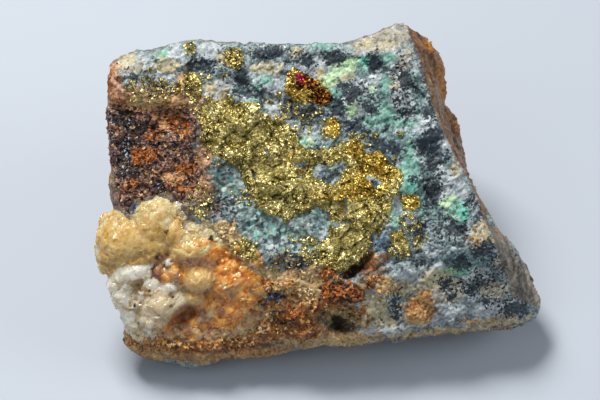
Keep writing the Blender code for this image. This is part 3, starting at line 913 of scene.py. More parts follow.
@dataclass(frozen=True)
class RockFinish:
    """Grey-green host rock with its stains, striated and rusty on the flanks, painted shade in its
    hollows.
    """

    crystal: float = 0.85
    fine: float = 0.4
    veins: float = 0.6
    mottling: float = 0.75
    base: Stops = (
        (0.2, 58, 74, 80), (0.42, 92, 110, 114), (0.6, 126, 142, 144), (0.85, 176, 188, 188),
    )
    mottles: Stops = (
        (0.12, 48, 60, 68), (0.3, 112, 128, 132), (0.46, 112, 116, 92), (0.6, 160, 168, 166),
        (0.78, 92, 170, 156), (0.92, 196, 202, 196),
    )
    bark: Stops = (
        (0.2, 52, 50, 46), (0.4, 94, 90, 82), (0.62, 132, 126, 114), (0.85, 166, 160, 148),
    )
    rind: Stops = (
        (0.25, 44, 25, 15), (0.4, 92, 54, 28), (0.54, 126, 86, 48), (0.7, 142, 116, 80),
        (0.9, 174, 156, 126),
    )
    weathered: Stops = ((0.2, 110, 62, 18), (0.5, 164, 102, 32), (0.85, 206, 150, 70))

    def build(self) -> bpy.types.Material:
        """Make the material.

        Returns:
            The material.
        """
        look = Finish("host_rock")
        coarse, small = look.mosaic(self.crystal, 0.5), look.mosaic(self.fine, 0.5)
        grain, cloud, ridge = look.grain(0.9), look.grain(3.2), look.grain(2.1)
        shade = look.weighed(
            -0.35, (coarse["Shade"], 0.25), (small["Shade"], 0.25), (grain, 0.45), (cloud, 0.75)
        )
        away = look.sum("ABSOLUTE", look.sum("SUBTRACT", ridge, 0.5))
        vein = look.spread(away, 0.004, 0.032, self.veins, 0.0)
        colour = look.mix(vein, look.ramp(shade, self.base), tint(190, 198, 200))
        for layer in ROCK_LAYERS:
            mask = look.stain(layer.mark, layer.size, layer.raggedness)
            colour = look.mix(mask, colour, look.ramp(shade, layer.stops))
        speckled = look.sum("MULTIPLY", look.stain("blue", 2.0, 1.0, 0.3), self.mottling)
        colour = look.mix(speckled, colour, look.ramp(coarse["Hue"], self.mottles))
        sparse = look.spread(look.mark("teal"), 0.35, 0.6, 1.0, 0.15)
        pepper = look.sum("MULTIPLY", look.stain("pepper", 0.9, 2.4, 0.05), sparse)
        colour = look.mix(pepper, colour, tint(34, 40, 44))
        streaks = look.weighed(0.2, (shade, 0.6), (look.mark("ribs"), 0.28))
        bark, rind = look.ramp(streaks, self.bark), look.ramp(streaks, self.rind)
        colour = look.mix(look.mark("flank"), colour, look.mix(look.mark("warm"), bark, rind))
        colour = look.mix(look.mark("weather"), colour, look.ramp(shade, self.weathered))
        # Painted shade: the rock is darkened in its hollows, where shade falls.
        painted_hollow_shade = look.spread(look.mark("hollow"), 0.02, 0.22, 0.0, 0.85)
        colour = look.mix(painted_hollow_shade, colour, look.mix(0.5, colour, tint(30, 26, 22)))
        colour = look.mix(look.mark("shadowed"), colour, tint(30, 27, 20))
        rough = look.spread(small["Hue"], 0.0, 1.0, 0.25, 0.8)
        normal = look.bump(grain, 0.15, small["Normal"])
        look.set(Base_Color=colour, Roughness=rough, Normal=normal, Specular_IOR_Level=0.5)
        return look.material


@dataclass(frozen=True)
class MetalFinish:
    """Massive chalcopyrite: small brassy crystal faces, tarnish where marked, painted shade in cracks
    and hollows.
    """

    name: str
    crystal: float
    stops: Stops
    tarnish: bool = False
    plate_tone_and_shade_weight: float = 0.7
    amber: Stops = ((0.15, 116, 89, 28), (0.5, 206, 174, 78), (0.85, 250, 228, 138))
    red: Stops = ((0.1, 46, 21, 12), (0.4, 98, 43, 20), (0.7, 146, 74, 26), (0.95, 200, 148, 58))
    plate_tone_and_shade: Stops = ((0.3, 98, 89, 44), (0.5, 134, 122, 64), (0.7, 180, 166, 100))

    def build(self) -> bpy.types.Material:
        """Make the material.

        Returns:
            The material.
        """
        look = Finish(self.name)
        coarse, small = look.mosaic(self.crystal, 0.9), look.mosaic(self.crystal * 0.45, 0.8)
        grain, cloud = look.grain(0.5), look.grain(3.5)
        shade = look.weighed(
            -0.67, (coarse["Shade"], 0.45), (small["Shade"], 0.35), (grain, 0.3), (cloud, 1.3)
        )
        amber = look.stain("amber", 1.4, 1.6, 0.2)
        colour = look.mix(amber, look.ramp(shade, self.stops), look.ramp(shade, self.amber))
        if self.tarnish:
            red = look.ramp(coarse["Hue"], self.red)
            colour = look.mix(look.stain("red", 1.0, 1.4), colour, red)
            colour = look.mix(look.stain("magenta", 0.6, 1.2), colour, tint(176, 40, 96))
        # The plates are duller and darker: partly their own tone, partly painted shade.
        plain = look.sum("MULTIPLY", look.stain("plate", 1.4, 1.3, 0.15), self.plate_tone_and_shade_weight)
        colour = look.mix(plain, colour, look.ramp(grain, self.plate_tone_and_shade))
        # Painted shade: the cracks are darkened as the shade in the fissures.
        crack = look.sum("MULTIPLY", look.mark("crack"), 0.7)
        colour = look.mix(crack, colour, tint(54, 47, 26))
        # Painted shade: the mass is darkened in its hollows, where shade falls.
        painted_pit_shade = look.spread(look.mark("hollow"), 0.03, 0.24, 0.0, 0.7)
        colour = look.mix(painted_pit_shade, colour, tint(46, 39, 20))
        gap = look.spread(small["Edge"], 0.0, 0.08, 0.6, 0.0)
        colour = look.mix(gap, colour, tint(60, 52, 24))
        rough = look.weighed(look.spread(small["Hue"], 0.0, 1.0, 0.22, 0.5), (plain, 0.25))
        normal = look.bump(grain, 0.05, small["Normal"])
        look.set(Base_Color=colour, Roughness=rough, Normal=normal, Metallic=0.92)
        return look.material


@dataclass(frozen=True)
class QuartzFinish:
    """Milky quartz, honey-coloured, white or stained orange in its depths, with painted sheen on its
    rims.
    """

    tones: dict[Tone, Stops] = field(default_factory=lambda: {
        HONEY: ((0.15, 178, 136, 64), (0.5, 210, 173, 100), (0.85, 230, 204, 146)),
        PALE: ((0.15, 188, 160, 98), (0.5, 216, 196, 140), (0.85, 234, 222, 180)),
        CLEAR: ((0.15, 184, 140, 70), (0.5, 210, 172, 102), (0.85, 228, 200, 140)),
        WHITE: ((0.15, 224, 208, 176), (0.5, 244, 235, 214), (0.85, 254, 251, 240)),
        GREY: ((0.15, 186, 162, 120), (0.5, 220, 200, 164), (0.85, 240, 226, 200)),
        AMBER: ((0.15, 178, 98, 18), (0.5, 232, 152, 54), (0.85, 250, 202, 122)),
        ROSE: ((0.15, 132, 84, 54), (0.5, 174, 122, 84), (0.85, 206, 164, 128)),
        TAN: ((0.15, 150, 112, 70), (0.5, 190, 154, 104), (0.85, 216, 188, 140)),
    })
    depths: Stops = ((0.35, 108, 56, 16), (0.6, 198, 120, 46))
    # Share of the painted sheen at the rims.
    rim: float = 0.45
    clearness: float = 0.14
    glow: float = 0.85
    glow_reach: tuple[float, float, float] = (3.4, 2.4, 1.3)

    def build(self) -> bpy.types.Material:
        """Make the material.

        Returns:
            The material.
        """
        look = Finish("quartz")
        veil, grain, faces = look.grain(3.0), look.grain(0.7), look.mosaic(0.6, 0.2)
        shade = look.weighed(-0.45, (faces["Shade"], 0.3), (veil, 1.6))
        colour = look.ramp(shade, self.tones[HONEY])
        for tone, stops in self.tones.items():
            if tone is not HONEY:
                share = look.spread(look.mark(tone.value), 0.15, 0.85, 0.0, 1.0)
                colour = look.mix(share, colour, look.ramp(shade, stops))
        # Painted shade: darker and more orange in hollows and in the seams between lobes, where shade
        # falls.
        deep = look.spread(look.mark("hollow"), 0.03, 0.32, 0.0, 0.6)
        deep = look.sum("MAXIMUM", deep, look.sum("MULTIPLY", look.mark("seam"), 0.18))
        colour = look.mix(deep, colour, look.mix(0.7, colour, tint(132, 72, 24)))
        colour = look.mix(look.mark("deep"), colour, look.ramp(veil, self.depths))
        # Painted sheen: the colour is lightened towards the edges that turn away from view.
        edge = look.node("ShaderNodeLayerWeight", {"Blend": 0.35}).outputs["Facing"]
        rim = look.spread(edge, 0.15, 0.9, 0.0, self.rim)
        colour = look.mix(rim, colour, tint(240, 232, 210))
        colour = look.mix(look.mark("speck"), colour, tint(32, 22, 14))
        rough = look.spread(faces["Hue"], 0.0, 1.0, 0.07, 0.42)
        normal = look.bump(grain, 0.06, faces["Normal"])
        look.set(Base_Color=colour, Roughness=rough, Normal=normal, IOR=1.54)
        look.set(Subsurface_Weight=self.glow, Subsurface_Radius=self.glow_reach)
        look.set(Subsurface_Scale=MM, Transmission_Weight=self.clearness)
        return look.material


@dataclass(frozen=True)
class LimoniteFinish:
    """Limonite: dark maroon to black, rusty orange in places, with painted highlights as bright specks.
    """

    name: str
    stops: Stops
    crystal: float = 0.7
    # Share of the painted highlights.
    sparkle: float = 0.85
    rust: Stops = ((0.2, 46, 21, 10), (0.45, 138, 70, 22), (0.85, 208, 130, 54))
    tan: Stops = ((0.2, 160, 108, 64), (0.8, 222, 174, 120))
    dark: Stops = ((0.2, 20, 15, 14), (0.55, 46, 34, 31), (0.9, 92, 78, 72))

    def build(self) -> bpy.types.Material:
        """Make the material.

        Returns:
            The material.
        """
        look = Finish(self.name)
        coarse, small = look.mosaic(self.crystal, 0.9), look.mosaic(self.crystal * 0.55, 0.7)
        grain = look.grain(0.6)
        shade = look.weighed(0.0, (coarse["Shade"], 0.4), (small["Shade"], 0.3), (grain, 0.35))
        colour = look.ramp(shade, self.stops)
        colour = look.mix(look.stain("rust", 1.2, 1.3), colour, look.ramp(shade, self.rust))
        colour = look.mix(look.stain("tan", 1.0, 1.2), colour, look.ramp(shade, self.tan))
        colour = look.mix(look.stain("dark", 1.0, 1.4), colour, look.ramp(shade, self.dark))
        # Painted highlights: a few crystal faces turned into bright warm glints.
        glint = look.spread(coarse["Hue"], 0.93, 0.97, 0.0, self.sparkle)
        colour = look.mix(glint, colour, tint(206, 168, 122))
        hole = look.spread(coarse["Hue"], 0.16, 0.1, 0.0, 0.9)
        colour = look.mix(hole, colour, tint(22, 14, 13))
        # Painted highlights: bluish-white glints where spark is marked.
        spark = look.spread(small["Hue"], 0.84, 0.9, 0.0, self.sparkle)
        spark = look.sum("MULTIPLY", spark, look.stain("spark", 0.8, 1.4))
        colour = look.mix(spark, colour, tint(172, 186, 196))
        # Painted shade: near black in the hollows, where shade falls.
        painted_pit_shade = look.spread(look.mark("hollow"), 0.02, 0.15, 0.0, 0.9)
        colour = look.mix(painted_pit_shade, colour, tint(16, 11, 9))
        rough = look.spread(small["Hue"], 0.0, 1.0, 0.3, 0.8)
        normal = look.bump(grain, 0.12, small["Normal"])
        look.set(Base_Color=colour, Roughness=rough, Normal=normal, Specular_IOR_Level=0.42)
        return look.material


MAROON = LimoniteFinish("limonite", (
    (0.15, 34, 20, 18), (0.42, 84, 55, 46), (0.65, 136, 99, 82), (0.9, 196, 168, 144),
))
RUSTY = LimoniteFinish(
    "limonite_rusty", ((0.15, 78, 36, 14), (0.5, 152, 82, 28), (0.85, 198, 130, 62)), 0.8, 0.0
)
GRIT = LimoniteFinish(
    "iron_stained_grit",
    ((0.15, 110, 70, 34), (0.38, 184, 118, 50), (0.6, 222, 168, 96), (0.85, 240, 212, 162)),
    crystal=0.9, sparkle=0.0,
    rust=((0.2, 120, 58, 20), (0.45, 196, 104, 34), (0.85, 230, 156, 76)),
    tan=((0.2, 188, 152, 96), (0.8, 242, 220, 172)),
)
BRASS = MetalFinish(
    "chalcopyrite", 0.6, ((0.15, 88, 80, 46), (0.5, 196, 180, 108), (0.85, 254, 240, 176))
)
TARNISH = MetalFinish(
    "chalcopyrite_tarnish", 0.5,
    ((0.15, 86, 60, 28), (0.5, 182, 148, 68), (0.85, 242, 222, 138)), tarnish=True,
)


@dataclass
class Specimen:
    """The whole specimen as one skin, from which its pieces are taken."""

    voxel: float = 0.7
    swell: float = 0.2
    rounds: int = 5
    ground: float = 0.15
    nudges: Sequence[tuple[float, float, float, float, float]] = (
        (195, 41, 0, -3, 22), (398, 30, 1, -4, 20), (434, 46, 2, 0, 14), (443, 100, 3.5, 0, 8),
        (447, 84, -3.5, 0, 8), (498, 222, -6, 0, 10), (535, 302, 6, 3, 22), (345, 345, 0, 2.5, 34),
        (120, 336, 3, 0, 11), (500, 328, 0, 2, 20), (315, 44, 0, -2.5, 22),
    )
    skin: Sheet = field(init=False)

    def build(self) -> None:
        """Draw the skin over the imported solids."""
        bm = bmesh.new()
        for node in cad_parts.values():
            bm.from_mesh(node.data)
        bmesh.ops.remove_doubles(bm, verts=bm.verts, dist=1e-6)
        bm.normal_update()
        for vertex in bm.verts:
            vertex.co += vertex.normal * self.swell * MM
        mesh = bpy.data.meshes.new("solids")
        bm.to_mesh(mesh)
        bm.free()
        sheet = Workshop.fused(Workshop.sheet_of(mesh), self.voxel).relaxed(self.rounds)
        bpy.data.meshes.remove(mesh)
        sheet = sheet.raised(np.full(len(sheet.points), -self.swell))
        columns, rows, _ = FACE.find(sheet.points)
        for column, row, right, down, reach in self.nudges:
            near = np.exp(-((columns - column) ** 2 + (rows - row) ** 2) / reach**2)[:, None]
            sheet.points += near * (right * FACE.axes[0] - down * FACE.axes[1]) * FACE.step
        sheet.points[:, 2] = np.where(
            sheet.points[:, 2] < self.ground, 0.0, np.maximum(sheet.points[:, 2], 0.0)
        )
        self.skin = sheet

    def tree(self) -> BVHTree:
        """The skin, in metres, for finding places on it."""
        return BVHTree.FromPolygons((self.skin.points * MM).tolist(), self.skin.faces.tolist())


SPECIMEN = Specimen()


@dataclass
class Crust:
    """A mineral that lies on the rock as a crust within an outline."""

    node: str
    slot: str
    outline: Outline
    finish: Any
    proud: float = 0.35
    sunk: float = 0.5
    lap: float = 0.7
    ramp: float = 0.9
    thickness: float = 1.2
    floor: float = -6.0
    fineness: int = 2
    seed: int = 1
    ragged: float = 0.7
    spread: float = 0.3
    islands: Spots = ()
    marks: dict[str, Spots] = field(default_factory=dict)
    cracks: Sequence[Line] = ()
    plates: Spots = ()
    facets: Planes = ((1.5, 0.4, 0.3), (0.65, 0.5, 0.22))

    def depth(self, points: Numbers) -> Numbers:
        """How far points lie inside the crust's ragged outline.

        Args:
            points: One point a row.

        Returns:
            Millimetres inside, negative outside.
        """
        columns, rows, lifts = FACE.find(points)
        inside = outline_depth(self.outline, columns, rows) * FACE.step + self.spread
        inside = np.minimum(inside, lifts - self.floor)
        if self.islands:
            inside = np.minimum(inside, -spot_depth(self.islands, columns, rows) * FACE.step)
        torn = 0.6 * Noise.smooth(points, 2.6, self.seed)
        torn += 0.4 * Noise.smooth(points, 0.9, self.seed + 1)
        return inside + self.ragged * torn

    def patch(self, margin: float = 0.0) -> Sheet:
        """The specimen's skin under the crust and a margin round it."""
        near = self.depth(SPECIMEN.skin.points) > -self.lap - margin
        return SPECIMEN.skin.part(near[SPECIMEN.skin.faces].all(axis=1)).largest()

    def lift(self, inside: Numbers) -> Numbers:
        """Height of the crust above the skin, by how far inside its outline a point lies."""
        return -self.sunk + (self.proud + self.sunk) * rise(-self.lap, self.ramp, inside)

    def relief(self, points: Numbers) -> Numbers:
        """Height of the crust's crystal faces and cracks.

        Args:
            points: One point a row.

        Returns:
            One height a point.
        """
        columns, rows, _ = FACE.find(points)
        height = np.zeros(len(points))
        rough = np.ones(len(points))
        for k, (size, lean, step) in enumerate(self.facets):
            height += rough * Noise.grains(points, size, self.seed + 5 * k).facets(lean, step)
            if self.plates:
                rough = 1 - 0.75 * rise(-3.0, 3.0, spot_depth(self.plates, columns, rows))
        return height - 0.4 * self.cracked(points)

    def cracked(self, points: Numbers) -> Numbers:
        """How far points lie in a crack.

        Args:
            points: One point a row.

        Returns:
            Numbers from 0 to 1.
        """
        if not self.cracks:
            return np.zeros(len(points))
        columns, rows, _ = FACE.find(points)
        warp = 3.0 * Noise.layered(points, 2.0, self.seed + 3)
        away = -line_depth(self.cracks, columns + warp, rows - warp) * FACE.step
        patchy = rise(-0.3, 0.3, Noise.smooth(points, 1.1, self.seed + 4))
        return (1 - rise(0.0, 0.36, away)) * patchy

    def build(self) -> None:
        """Make the crust."""
        patch = self.patch(0.3)
        sheet = patch.closed(patch.points - patch.normals() * self.thickness)
        top = np.arange(len(sheet.points)) < len(patch.points)
        for _ in range(self.fineness):
            finer = sheet.refined(top[sheet.faces].all(axis=1))
            top = np.concatenate((top, np.ones(len(finer.points) - len(top), bool)))
            even = finer.averaged(finer.points, 2)
            sheet = Sheet(np.where(top[:, None], even, finer.points), finer.faces)
        inside = self.depth(sheet.points)
        relief = rise(-self.lap, 0.2, inside) * self.relief(sheet.points)
        closed = sheet.raised(np.where(top, self.lift(inside) + relief, 0.0))
        thing = Workshop.make(self.node + "_crust", closed, facets=True)
        # Hollowness, which the finishes paint as shade in the crust's hollows.
        Workshop.mark(thing, hollow=np.where(top, closed.hollowness(), 0.0))
        columns, rows, _ = FACE.find(closed.points)
        columns = columns + 3.5 * Noise.layered(closed.points, 2.2, self.seed + 40)
        rows = rows + 3.5 * Noise.layered(closed.points, 2.2, self.seed + 44)
        for name, spots in self.marks.items():
            Workshop.mark(thing, **{name: faded(spot_depth(spots, columns, rows))})
        # How far each point lies in a crack, which the finish darkens as painted shade.
        Workshop.mark(thing, crack=self.cracked(closed.points))
        Workshop.dress(thing, self.finish, self.slot, self.node)


@dataclass
class Bleb(Crust):
    """A small crust of chalcopyrite, thin and with an even rim."""

    lap: float = 0.5
    ramp: float = 0.6
    thickness: float = 1.0
    ragged: float = 0.45
    facets: Planes = ((0.9, 0.6, 0.25), (0.45, 0.6, 0.15))


CHALCOPYRITE_MASS = (
    (203, 109), (212, 105), (224, 103), (238, 105), (250, 104), (262, 110), (270, 117), (280, 122),
    (290, 130), (293, 138), (300, 148), (312, 152), (335, 150), (350, 142), (358, 138), (366, 154),
    (378, 152), (388, 165), (398, 172), (400, 182), (394, 194), (388, 208), (386, 222), (376, 233),
    (369, 247), (360, 256), (348, 266), (335, 270), (321, 267), (319, 255), (329, 238), (331, 210),
    (318, 204), (304, 208), (294, 215), (284, 218), (270, 211), (257, 199), (245, 183), (240, 170),
    (228, 160), (217, 154), (213, 147), (204, 144), (201, 132), (202, 120),
)
TARNISHED = (
    (287, 73), (296, 66), (303, 74), (318, 82), (328, 90), (331, 98), (322, 105), (308, 103), (295, 100),
    (284, 92), (288, 84),
)
TOP_BLEB = ((226, 51), (233, 48), (241, 51), (243, 60), (238, 69), (229, 68), (223, 60))
WEST_STREAK = ((186, 75), (194, 72), (201, 80), (203, 91), (200, 100), (191, 101), (184, 92))
AMBER_BLEB = ((327, 120), (334, 117), (340, 124), (339, 134), (332, 139), (325, 132))
EAST_UPPER = ((401, 198), (409, 195), (418, 199), (420, 207), (412, 211), (404, 208))
EAST_LOWER = (
    (389, 234), (397, 229), (405, 232), (409, 243), (409, 253), (403, 257), (396, 250),
)
SOUTHWEST = ((241, 245), (249, 242), (256, 247), (256, 256), (249, 260), (242, 256))
QUARTZ = (
    (84, 204), (108, 207), (121, 213), (129, 219), (135, 210), (141, 203), (150, 198), (160, 198),
    (170, 200), (181, 206), (187, 219), (200, 220), (213, 224), (219, 240), (231, 256), (240, 265),
    (256, 269), (265, 278), (268, 292), (262, 305), (266, 318), (258, 330), (240, 338), (215, 342),
    (190, 345), (165, 345), (148, 341), (136, 335), (84, 337),
)
GOSSAN = (
    (96, 109), (112, 106), (130, 104), (150, 106), (170, 107), (186, 109), (193, 119), (194, 134),
    (192, 148), (197, 160), (201, 172), (197, 183), (190, 192), (184, 201), (172, 197), (160, 194),
    (150, 194), (140, 199), (133, 206), (128, 214), (121, 208), (108, 203), (96, 201),
)
RUSTY_LUMP = (
    (321, 288), (328, 282), (340, 281), (352, 283), (361, 290), (364, 297), (357, 303), (343, 304),
    (330, 303), (322, 297),
)

MASS_ISLANDS = (
    (320, 172, 6, 5, 35), (333, 176, 9, 6, 30), (342, 168, 5, 4, 20), (375, 182, 5, 2.5, -35),
    (345, 223, 5, 1.6, 12), (207, 150, 5, 3), (300, 164, 4, 2),
)
MASS_CRACKS = (
    ((219, 150), (230, 142), 0.1), ((230, 142), (246, 135), 0.3), ((246, 135), (257, 124), 0.1),
    ((224, 139), (236, 131), 0.2), ((241, 146), (249, 140), 0.1), ((237, 120), (245, 113), 0.2),
    ((283, 191), (272, 197), 0.1), ((312, 196), (334, 200), 0.0), ((338, 222), (351, 219), 0.3),
    ((270, 183), (286, 188), 0.0), ((341, 248), (356, 244), 0.0),
)
# Smoother plates of the mass, which the finish darkens: partly their own duller tone, partly painted
# shade.
MASS_PLATES = (
    (268, 168, 20, 11, -10), (256, 131, 14, 9, 30), (270, 192, 14, 6, 10), (346, 240, 15, 15),
    (232, 128, 6, 12, -30), (300, 186, 12, 6), (318, 204, 14, 4), (348, 206, 12, 8),
)
MASS_AMBER = (
    (378, 165, 22, 14, -30), (366, 184, 24, 14), (345, 194, 18, 8, 20), (325, 198, 12, 5, 10),
    (355, 150, 8, 8),
)


GOSSAN_MARKS = {
    # Where the finish paints bluish-white highlights.
    "spark": (
        (125, 146, 4, 34), (172, 137, 4, 5), (183, 130, 3, 3), (193, 153, 4, 7), (154, 188, 4, 3),
        (112, 132, 3, 16),
    ),
    "rust": (
        (143, 156, 16, 11), (178, 125, 11, 15, 30), (130, 185, 9, 5, 10), (184, 168, 12, 7),
        (185, 190, 8, 5), (114, 124, 5, 8), (150, 133, 10, 6), (166, 118, 8, 5), (175, 185, 7, 4),
    ),
    "tan": (
        (168, 178, 19, 5, 12), (149, 171, 7, 4, 15), (140, 104, 28, 5), (160, 121, 5, 12, 35),
        (200, 156, 6, 8), (172, 104, 12, 4),
    ),
    "dark": (
        (122, 118, 12, 10), (138, 127, 12, 8), (124, 152, 5, 12), (132, 172, 12, 6),
        (158, 186, 9, 6, -40), (150, 165, 8, 4, 30), (128, 140, 16, 5), (117, 165, 3, 14),
    ),
}
LUMP_MARKS = {
    "rust": ((340, 292, 22, 12),),
    "tan": ((358, 285, 7, 3),),
    "dark": ((340, 283, 5, 2.5), (345, 302, 12, 2.5)),
}


CRUSTS = (
    Crust(
        "chalcopyrite_mass", "chalcopyrite", CHALCOPYRITE_MASS, BRASS, seed=3,
        islands=MASS_ISLANDS, cracks=MASS_CRACKS, plates=MASS_PLATES,
        marks={"amber": MASS_AMBER, "plate": MASS_PLATES}, ragged=0.6, spread=0.5,
        facets=((3.4, 0.34, 0.38), (1.1, 0.3, 0.12), (0.5, 0.55, 0.12)),
    ),
    Bleb(
        "chalcopyrite_tarnished", "tarnished_chalcopyrite", TARNISHED, TARNISH, seed=23,
        marks={
            "amber": ((300, 97, 7, 4),), "magenta": ((299, 78, 4, 3),),
            "red": ((303, 80, 12, 8, 30), (322, 97, 12, 7, 20), (312, 88, 9, 5)),
        },
    ),
    Bleb("chalcopyrite_top", "chalcopyrite", TOP_BLEB, BRASS, seed=29),
    Bleb("chalcopyrite_west", "chalcopyrite", WEST_STREAK, BRASS, seed=31),
    Bleb(
        "chalcopyrite_amber", "tarnished_chalcopyrite", AMBER_BLEB, BRASS, seed=37,
        marks={"amber": ((332, 129, 12, 12),)},
    ),
    Bleb(
        "chalcopyrite_east_upper", "tarnished_chalcopyrite", EAST_UPPER, BRASS, seed=41,
        marks={"amber": ((410, 203, 12, 12),)},
    ),
    Bleb(
        "chalcopyrite_east_lower", "chalcopyrite", EAST_LOWER, BRASS, seed=43,
        marks={"amber": ((396, 234, 9, 5),)},
    ),
    Bleb("chalcopyrite_southwest", "chalcopyrite", SOUTHWEST, BRASS, seed=47),
    Crust(
        "limonite_gossan", "limonite", GOSSAN, MAROON, seed=53, proud=0.2, floor=-5.5,
        marks=GOSSAN_MARKS, ragged=1.0,
        facets=((1.8, 0.3, 0.3), (0.8, 0.4, 0.22), (0.4, 0.4, 0.08)),
    ),
    Crust(
        "limonite_lump", "limonite", RUSTY_LUMP, RUSTY, seed=59, proud=0.3, floor=-5.2,
        marks=LUMP_MARKS, ramp=0.6, facets=((1.0, 0.5, 0.3), (0.45, 0.6, 0.2)),
    ),
)
QUARTZ_BED = Crust(
    "quartz_cluster", "quartz", QUARTZ, None, seed=61, proud=0.1, sunk=0.9, lap=0.8,
    thickness=2.2, floor=-12.5, ragged=0.8,
)

# Each lobe: column, row, lift, half sizes across, up and out and, where turned, degrees.
Lobe = tuple[float, ...]
QUARTZ_LOBES: dict[Tone, Sequence[Lobe]] = {
    HONEY: (
        (124, 241, -3.2, 5.7, 5.9, 5.4), (150, 246, -3.2, 4.2, 3.2, 4.3, 10),
        (112, 262, -4.8, 3.0, 3.6, 3.8, 30), (137, 258, -3.6, 3.6, 2.6, 4.2),
        (113, 222, -4.2, 2.6, 2.2, 3.4, 40), (152, 231, -2.6, 4.0, 3.4, 4.2),
        (173, 232, -2.5, 1.9, 3.8, 3.4, -12),
    ),
    PALE: (
        (157, 213, -2.6, 4.2, 3.5, 4.2), (147, 218, -2.9, 3.2, 3.2, 4.0),
        (106, 246, -4.4, 2.3, 4.0, 3.6), (166, 220, -2.8, 2.4, 2.6, 3.9),
        (198, 230, -2.9, 3.0, 2.0, 2.8, -5), (186, 240, -2.9, 2.4, 2.0, 3.1, 40),
        (209, 226, -3.2, 1.5, 1.2, 2.4), (210, 312, -7.4, 0.6, 1.7, 2.4, 25),
    ),
    GREY: (
        (176, 209, -3.2, 1.9, 1.8, 3.2), (158, 304, -5.8, 4.9, 3.7, 4.0, 15),
        (150, 318, -7.2, 3.4, 2.6, 3.6), (184, 222, -3.6, 1.2, 1.6, 2.4, -20),
        (172, 300, -5.6, 3.0, 3.2, 3.4), (138, 300, -6.2, 2.4, 3.0, 3.6),
        (142, 334, -9.4, 2.8, 2.2, 2.9, 20),
    ),
    WHITE: (
        (133, 271, -3.5, 4.3, 2.0, 3.9, 16), (150, 285, -4.9, 1.9, 1.4, 3.5, 20),
        (169, 287, -4.3, 2.0, 1.3, 3.4, -25), (127, 311, -7.2, 1.5, 2.2, 3.4, 15),
        (115, 288, -6.0, 1.9, 2.2, 3.5), (121, 299, -6.6, 1.8, 2.2, 3.4, 20),
        (126, 286, -5.4, 1.7, 1.6, 3.5), (167, 262, -3.5, 1.2, 0.9, 3.1, 30),
    ),
    CLEAR: (
        (198, 279, -3.1, 3.2, 2.9, 3.8), (194, 298, -5.8, 2.5, 1.8, 3.2),
        (192, 248, -2.6, 4.8, 2.3, 3.8, 20), (176, 256, -3.1, 1.6, 1.4, 3.2, 30),
    ),
    AMBER: (
        (104, 221, -6.0, 1.3, 2.0, 2.4, -15), (186, 277, -4.2, 1.7, 2.0, 3.2),
        (212, 254, -3.4, 2.4, 2.6, 3.0), (228, 268, -3.8, 3.4, 2.6, 3.2, 20),
        (228, 285, -4.6, 3.2, 3.0, 3.2), (246, 277, -3.7, 3.0, 2.2, 3.0),
        (256, 289, -4.5, 2.2, 2.6, 2.6), (212, 300, -6.8, 2.4, 3.2, 2.8),
        (217, 285, -5.0, 2.0, 2.8, 3.0), (240, 290, -4.9, 1.8, 1.8, 3.0),
        (200, 322, -8.6, 3.2, 2.0, 2.6), (222, 323, -7.8, 3.0, 1.9, 2.8),
        (244, 298, -5.6, 3.2, 3.0, 3.0), (173, 272, -4.0, 2.0, 1.6, 3.2),
        (232, 311, -6.0, 2.0, 2.3, 3.0, 15), (257, 306, -6.0, 2.0, 1.6, 2.4),
    ),
    ROSE: (
        (163, 257, -3.6, 1.4, 1.2, 3.2), (196, 262, -3.7, 4.4, 1.0, 3.2, -6),
        (158, 270, -4.0, 1.5, 1.3, 3.1), (190, 334, -9.4, 4.2, 2.1, 3.0),
        (216, 333, -8.9, 3.2, 1.8, 2.8), (165, 336, -9.7, 2.6, 2.0, 3.0),
    ),
    TAN: (
        (134, 283, -4.8, 1.7, 1.0, 3.4), (240, 328, -8.2, 1.6, 1.7, 2.4),
        (251, 322, -7.6, 1.5, 1.9, 2.2, 10), (265, 315, -6.6, 1.0, 0.9, 1.8),
        (143, 290, -5.4, 1.7, 1.5, 3.6),
    ),
}


@dataclass(frozen=True)
class Crumbs:
    """A field of small lobes that sit on the larger ones."""

    where: Spot
    count: int
    smallest: float
    largest: float
    tones: Sequence[Tone]


QUARTZ_CRUMBS = (
    Crumbs((258, 298, 10, 20), 60, 0.3, 0.7, (AMBER, TAN, ROSE)),
    Crumbs((243, 272, 24, 28), 110, 0.35, 0.85, (AMBER, AMBER, AMBER, TAN)),
    Crumbs((232, 292, 22, 16), 50, 0.35, 0.85, (AMBER, ROSE)),
    Crumbs((195, 336, 42, 8), 70, 0.3, 0.8, (ROSE, AMBER, TAN)),
    Crumbs((141, 332, 14, 9), 40, 0.3, 0.7, (WHITE, GREY)),
    Crumbs((116, 291, 10, 13), 40, 0.35, 0.9, (WHITE,)),
    Crumbs((198, 229, 15, 11), 50, 0.35, 0.75, (PALE, GREY)),
    Crumbs((158, 212, 20, 12), 44, 0.3, 0.65, (PALE, HONEY)),
    Crumbs((168, 272, 12, 9), 26, 0.4, 0.9, (AMBER, ROSE, TAN)),
    Crumbs((118, 222, 18, 9, -20), 26, 0.3, 0.65, (HONEY, PALE)),
    Crumbs((210, 246, 12, 14), 36, 0.4, 0.9, (AMBER, PALE)),
    Crumbs((208, 310, 14, 18), 30, 0.4, 0.9, (AMBER, ROSE)),
    Crumbs((130, 295, 14, 16), 30, 0.35, 0.8, (GREY, WHITE, TAN)),
)


